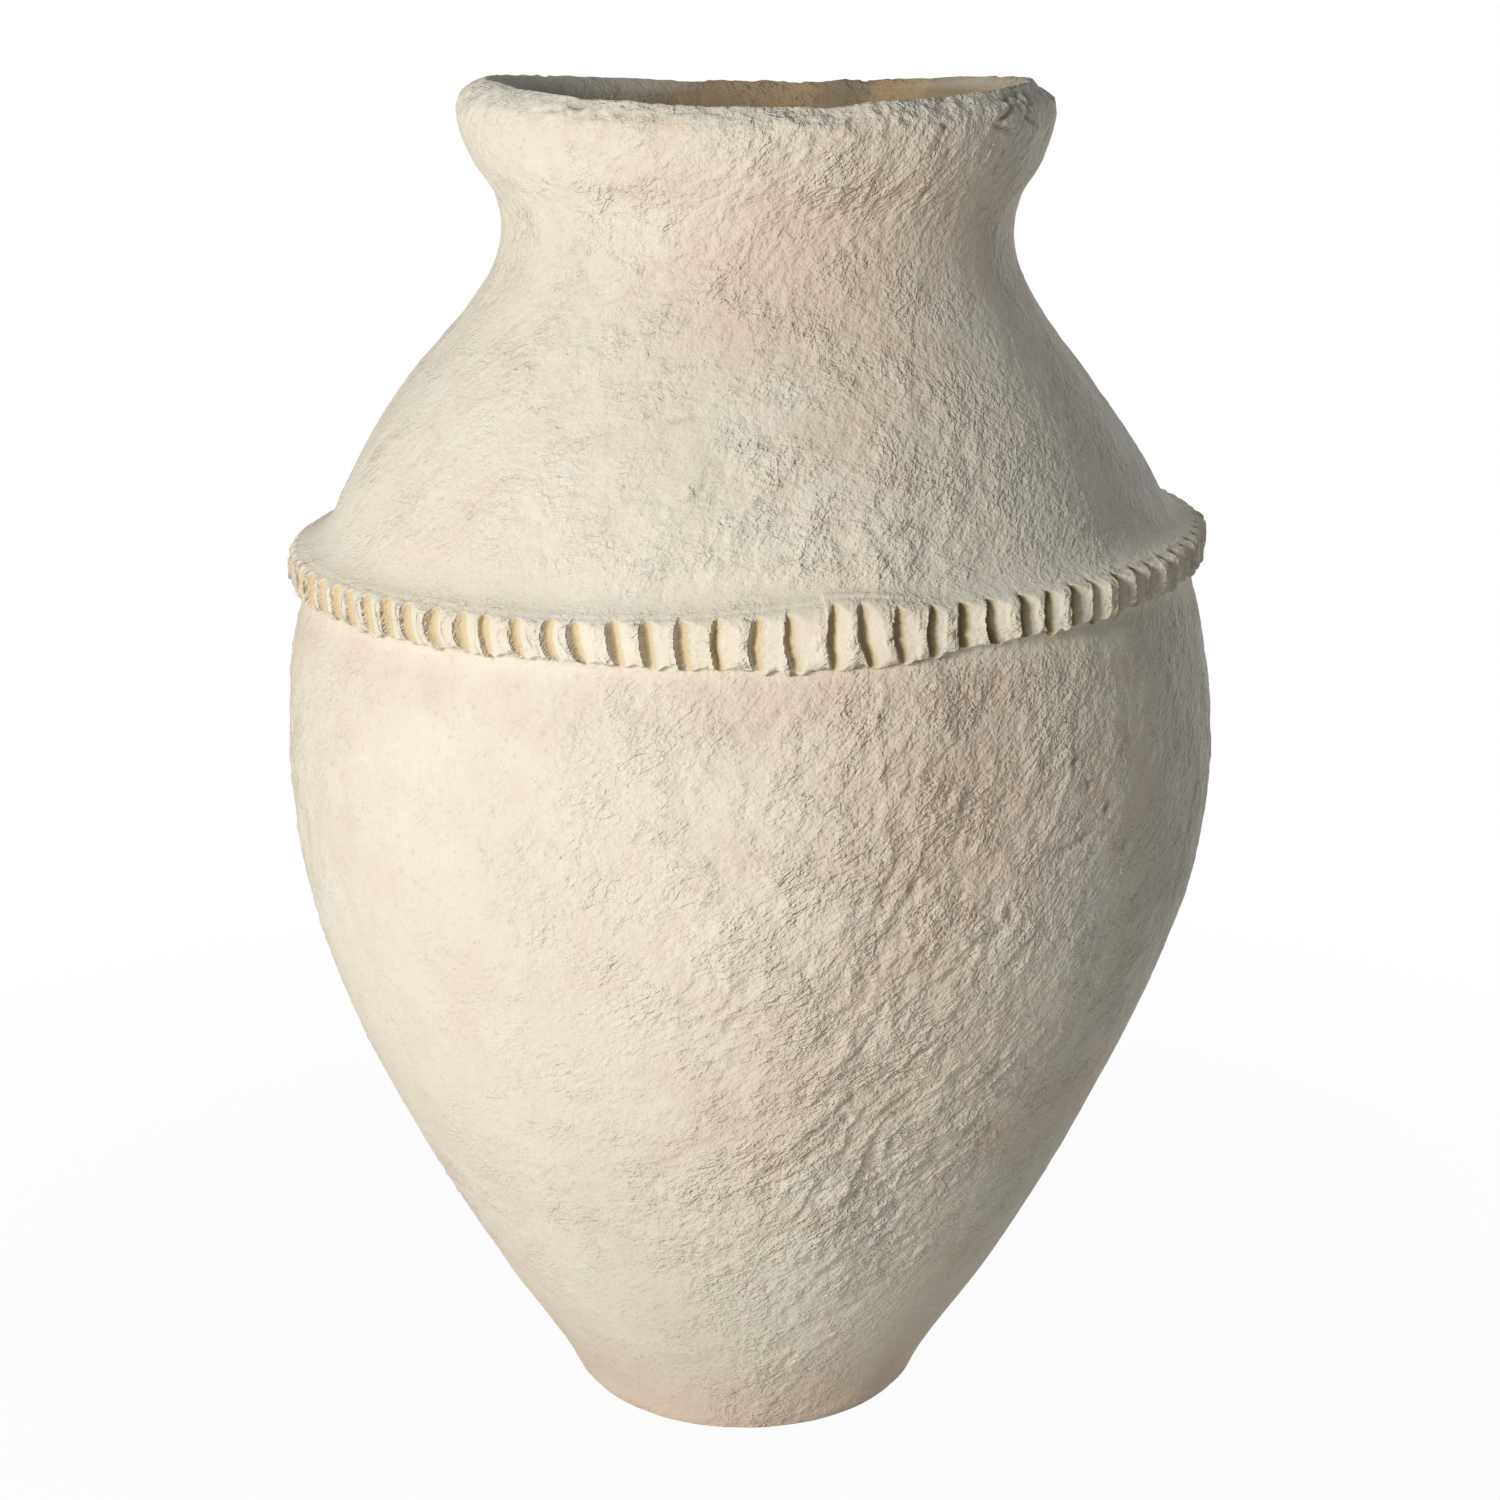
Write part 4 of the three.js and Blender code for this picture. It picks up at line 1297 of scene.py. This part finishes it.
# %% Lime-washed earthenware, for the wall, the lip and the floor
CLAY = colour("#BDAA8E")
CLAY_DARK = colour("#948A74")
CLAY_OCHRE = colour("#CBB08A")
SMOKED_CLAY_AND_LIP_SHADE = colour("#D2CBBB")


def lime_washed_earthenware():
    """Lime wash rubbed on by hand, and bare clay where it ends."""
    material, tree = new_material("lime_washed_earthenware")
    place = add(tree, "ShaderNodeTexCoord").node.outputs["Object"]
    warm, cloud, edge = (
        add(tree, "ShaderNodeTexNoise", {"Vector": place, "Scale": per_metre(size), "Detail": 4.0})
        for size in (70, 22, 9))
    tinted, coat, rough = (add(tree, "ShaderNodeAttribute", attribute_name=name).node.outputs["Fac"]
                           for name in ("tint", "coat", "rough"))
    ragged = add(tree, "ShaderNodeMath", {0: coat, 1: edge}, operation="ADD")
    # The bare clay turns a lighter grey with the tone value, which also holds painted shade on the top of the
    # lip
    skin = lay_coats(tree, CLAY, [
        (CLAY_OCHRE, warm, 0.4, 0.62, 1.0), (CLAY_DARK, cloud, 0.42, 0.66, 0.6),
        (SMOKED_CLAY_AND_LIP_SHADE, tinted, 0.2, -1.2, 0.9), (lime_colour(tree, place), ragged, 0.92, 1.06, 1.0),
    ])
    chalky_surface(tree, skin, coat_height(tree, place, rough))
    return material


# %% [markdown]
# ### Lime wash on the strip
#
# The strip took the wash more thickly: its torn crests are pale and powdery. Towards the bottom of the
# smooth marks the colour turns to ochre, partly painted warm shade. On the right the bottoms of the marks
# are painted dark olive, as painted shade. Its ledge looks just like the wall.

# %% Lime wash on the strip
POWDER = colour("#F1E6CE")
# Ochre deep in the marks, partly painted warm shade
OCHRE = colour("#D8C393")
# Painted shade: dark olive in the bottoms of the marks on the right
MARK_BOTTOM_PAINTED_SHADE = colour("#857A5A")
CRUMB_HEIGHT = 0.9


def lime_washed_strip():
    """Lime wash over the notched strip, powdery on the crests, with ochre and painted shade in the marks."""
    material, tree = new_material("lime_washed_strip")
    place = add(tree, "ShaderNodeTexCoord").node.outputs["Object"]
    rough, trough = (add(tree, "ShaderNodeAttribute", attribute_name=name).node.outputs["Fac"]
                     for name in ("rough", "trough"))
    powder = add(tree, "ShaderNodeMapRange",
                 {"Value": rough, "From Min": 0.3, "From Max": 0.8, "To Max": 0.6})
    skin = add(tree, "ShaderNodeMix", {0: powder, 6: lime_colour(tree, place), 7: POWDER}, data_type="RGBA")
    # Ochre in the marks, partly painted warm shade, then painted dark shade in their bottoms on the right
    skin = lay_coats(tree, skin, [(OCHRE, trough, 0.1, 0.8, 0.75), (MARK_BOTTOM_PAINTED_SHADE, trough, 1.0, 2.0, 0.8)])
    crumb = add(tree, "ShaderNodeTexNoise",
                {"Vector": place, "Scale": per_metre(2.4), "Detail": 3.0, "Roughness": 0.65})
    crumb = add(tree, "ShaderNodeMath", {0: crumb, 1: powder}, operation="MULTIPLY")
    height = add(tree, "ShaderNodeMath", {0: crumb, 1: CRUMB_HEIGHT, 2: coat_height(tree, place, rough)},
                 operation="MULTIPLY_ADD")
    chalky_surface(tree, skin, height)
    return material


wash = lime_washed_earthenware()
for piece in (first_round, second_round, third_round, fourth_round, neck_round, lip, floor):
    piece.data.materials.append(wash)
strip_wash = lime_washed_strip()
for piece in (strip_left, strip_right):
    piece.data.materials.append(strip_wash)
print("finishes:", wash.name, strip_wash.name)

# %% [markdown]
# ## What each piece stands for
#
# Nothing on the urn moves, so every piece rides on the one body, and each replaces its plain solid.

# %% Ties to the frame
TIES = [
    (floor, "floor_slab", "raw_clay"),
    (first_round, "lower_wall", "lime_coat"),
    (second_round, "belly_wall_lower", "lime_coat"),
    (third_round, "belly_wall_upper", "lime_coat"),
    (fourth_round, "shoulder_wall", "lime_coat"),
    (neck_round, "neck_wall", "lime_coat"),
    (lip, "rim_roll", "lime_coat"),
    (strip_left, "band_strip_left", "strip_coat"),
    (strip_right, "band_strip_right", "strip_coat"),
]
for piece, node_name, slot_name in TIES:
    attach(piece, "root")
    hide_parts(node_name)
print("pieces tied:", len(TIES))

# %% [markdown]
# ## Stage, light and camera
#
# The floor is pale and plain and keeps the urn's shadow. The camera sees it fade to pure white away from
# the urn, so no edge of it shows. A soft lamp stands on the left of the camera, a little above it, a cool
# one behind on the right draws that edge, and the pale world fills the shade.

# %% Floor and world
FLOOR_SIZE = 24.0
FADE_START = 0.2
FADE_END = 0.8
NEAR_WHITE = 0.95
WHITE = colour("#FFFFFF")


def background_ray(tree):
    """1 for the rays that show the background: the camera's, and those in gloss and through glass."""
    path = add(tree, "ShaderNodeLightPath").node.outputs
    shown = add(tree, "ShaderNodeMath", {0: path["Is Camera Ray"], 1: path["Is Glossy Ray"]}, operation="ADD")
    return add(tree, "ShaderNodeMath", {0: shown, 1: path["Is Transmission Ray"]}, operation="ADD",
               use_clamp=True)


def pale_floor():
    """A plain floor that the camera sees as nearly white, shadow and all, and white further off."""
    bpy.ops.mesh.primitive_plane_add(size=FLOOR_SIZE)
    plane = bpy.context.active_object
    plane.name = "studio_floor"
    material, tree = new_material("studio_floor_white")
    place = add(tree, "ShaderNodeTexCoord").node.outputs["Object"]
    distance = add(tree, "ShaderNodeVectorMath", {0: place}, operation="LENGTH")
    bright = add(tree, "ShaderNodeMapRange", {"Value": distance, "From Min": FADE_START, "From Max": FADE_END,
                                              "To Min": NEAR_WHITE, "To Max": 1.0},
                 interpolation_type="SMOOTHSTEP")
    seen = add(tree, "ShaderNodeMath", {0: background_ray(tree), 1: bright}, operation="MULTIPLY")
    paper = add(tree, "ShaderNodeBsdfDiffuse", {"Color": colour("#DEDCD8")})
    glow = add(tree, "ShaderNodeEmission", {"Color": WHITE, "Strength": 1.0})
    both = add(tree, "ShaderNodeMixShader", {0: seen, 1: paper, 2: glow})
    add(tree, "ShaderNodeOutputMaterial", {"Surface": both})
    plane.data.materials.append(material)
    return plane


def studio_world(strength):
    """A pale world that the camera sees as white."""
    world = bpy.data.worlds.new("studio_world")
    world.use_nodes = True
    tree = world.node_tree
    tree.nodes.clear()
    fill = add(tree, "ShaderNodeBackground", {"Color": colour("#ECF0F6"), "Strength": strength})
    white = add(tree, "ShaderNodeBackground", {"Color": WHITE, "Strength": 1.0})
    both = add(tree, "ShaderNodeMixShader", {0: background_ray(tree), 1: fill, 2: white})
    add(tree, "ShaderNodeOutputWorld", {"Surface": both})
    bpy.context.scene.world = world


pale_floor()
studio_world(strength=0.195)
print("stage:", bpy.context.scene.world.name)

# %% Lamps
def lamp(name, angle, rise, distance, size, power, code="#FFFFFF"):
    """A square soft lamp that looks at the middle of the urn, so far round from the front and so high."""
    light = bpy.data.lights.new(name, "AREA")
    light.size = size
    light.energy = power
    light.color = colour(code)[:3]
    turn, climb = math.radians(angle), math.radians(rise)
    away = Vector((math.sin(turn) * math.cos(climb), -math.cos(turn) * math.cos(climb), math.sin(climb)))
    holder = bpy.data.objects.new(name, light)
    holder.location = away * distance + Vector((0, 0, TOTAL_HEIGHT * MM / 2))
    holder.rotation_euler = away.to_track_quat("Z", "Y").to_euler()
    bpy.context.scene.collection.objects.link(holder)
    return holder


key = lamp("key_lamp", angle=-31, rise=16.5, distance=1.4, size=0.35, power=13.3)
edge = lamp("edge_lamp", angle=135, rise=6, distance=2.2, size=0.8, power=20, code="#EDF3FF")
print("lamps:", key.name, edge.name)

# %% Camera, as far off and as high as the photograph's
CAMERA_BACK = 1163.5
CAMERA_HEIGHT = 615.2
CAMERA_PITCH = 15.78
LENS = 67.09
SENSOR_WIDTH = 36
camera_data = bpy.data.cameras.new("camera")
camera_data.lens = LENS
camera_data.sensor_width = SENSOR_WIDTH
camera = bpy.data.objects.new("camera", camera_data)
camera.location = (0, -CAMERA_BACK * MM, CAMERA_HEIGHT * MM)
camera.rotation_euler = (math.radians(90 - CAMERA_PITCH), 0, 0)
bpy.context.scene.collection.objects.link(camera)
bpy.context.scene.camera = camera
bpy.context.scene.view_settings.view_transform = "Standard"
print("camera, mm up:", CAMERA_HEIGHT)
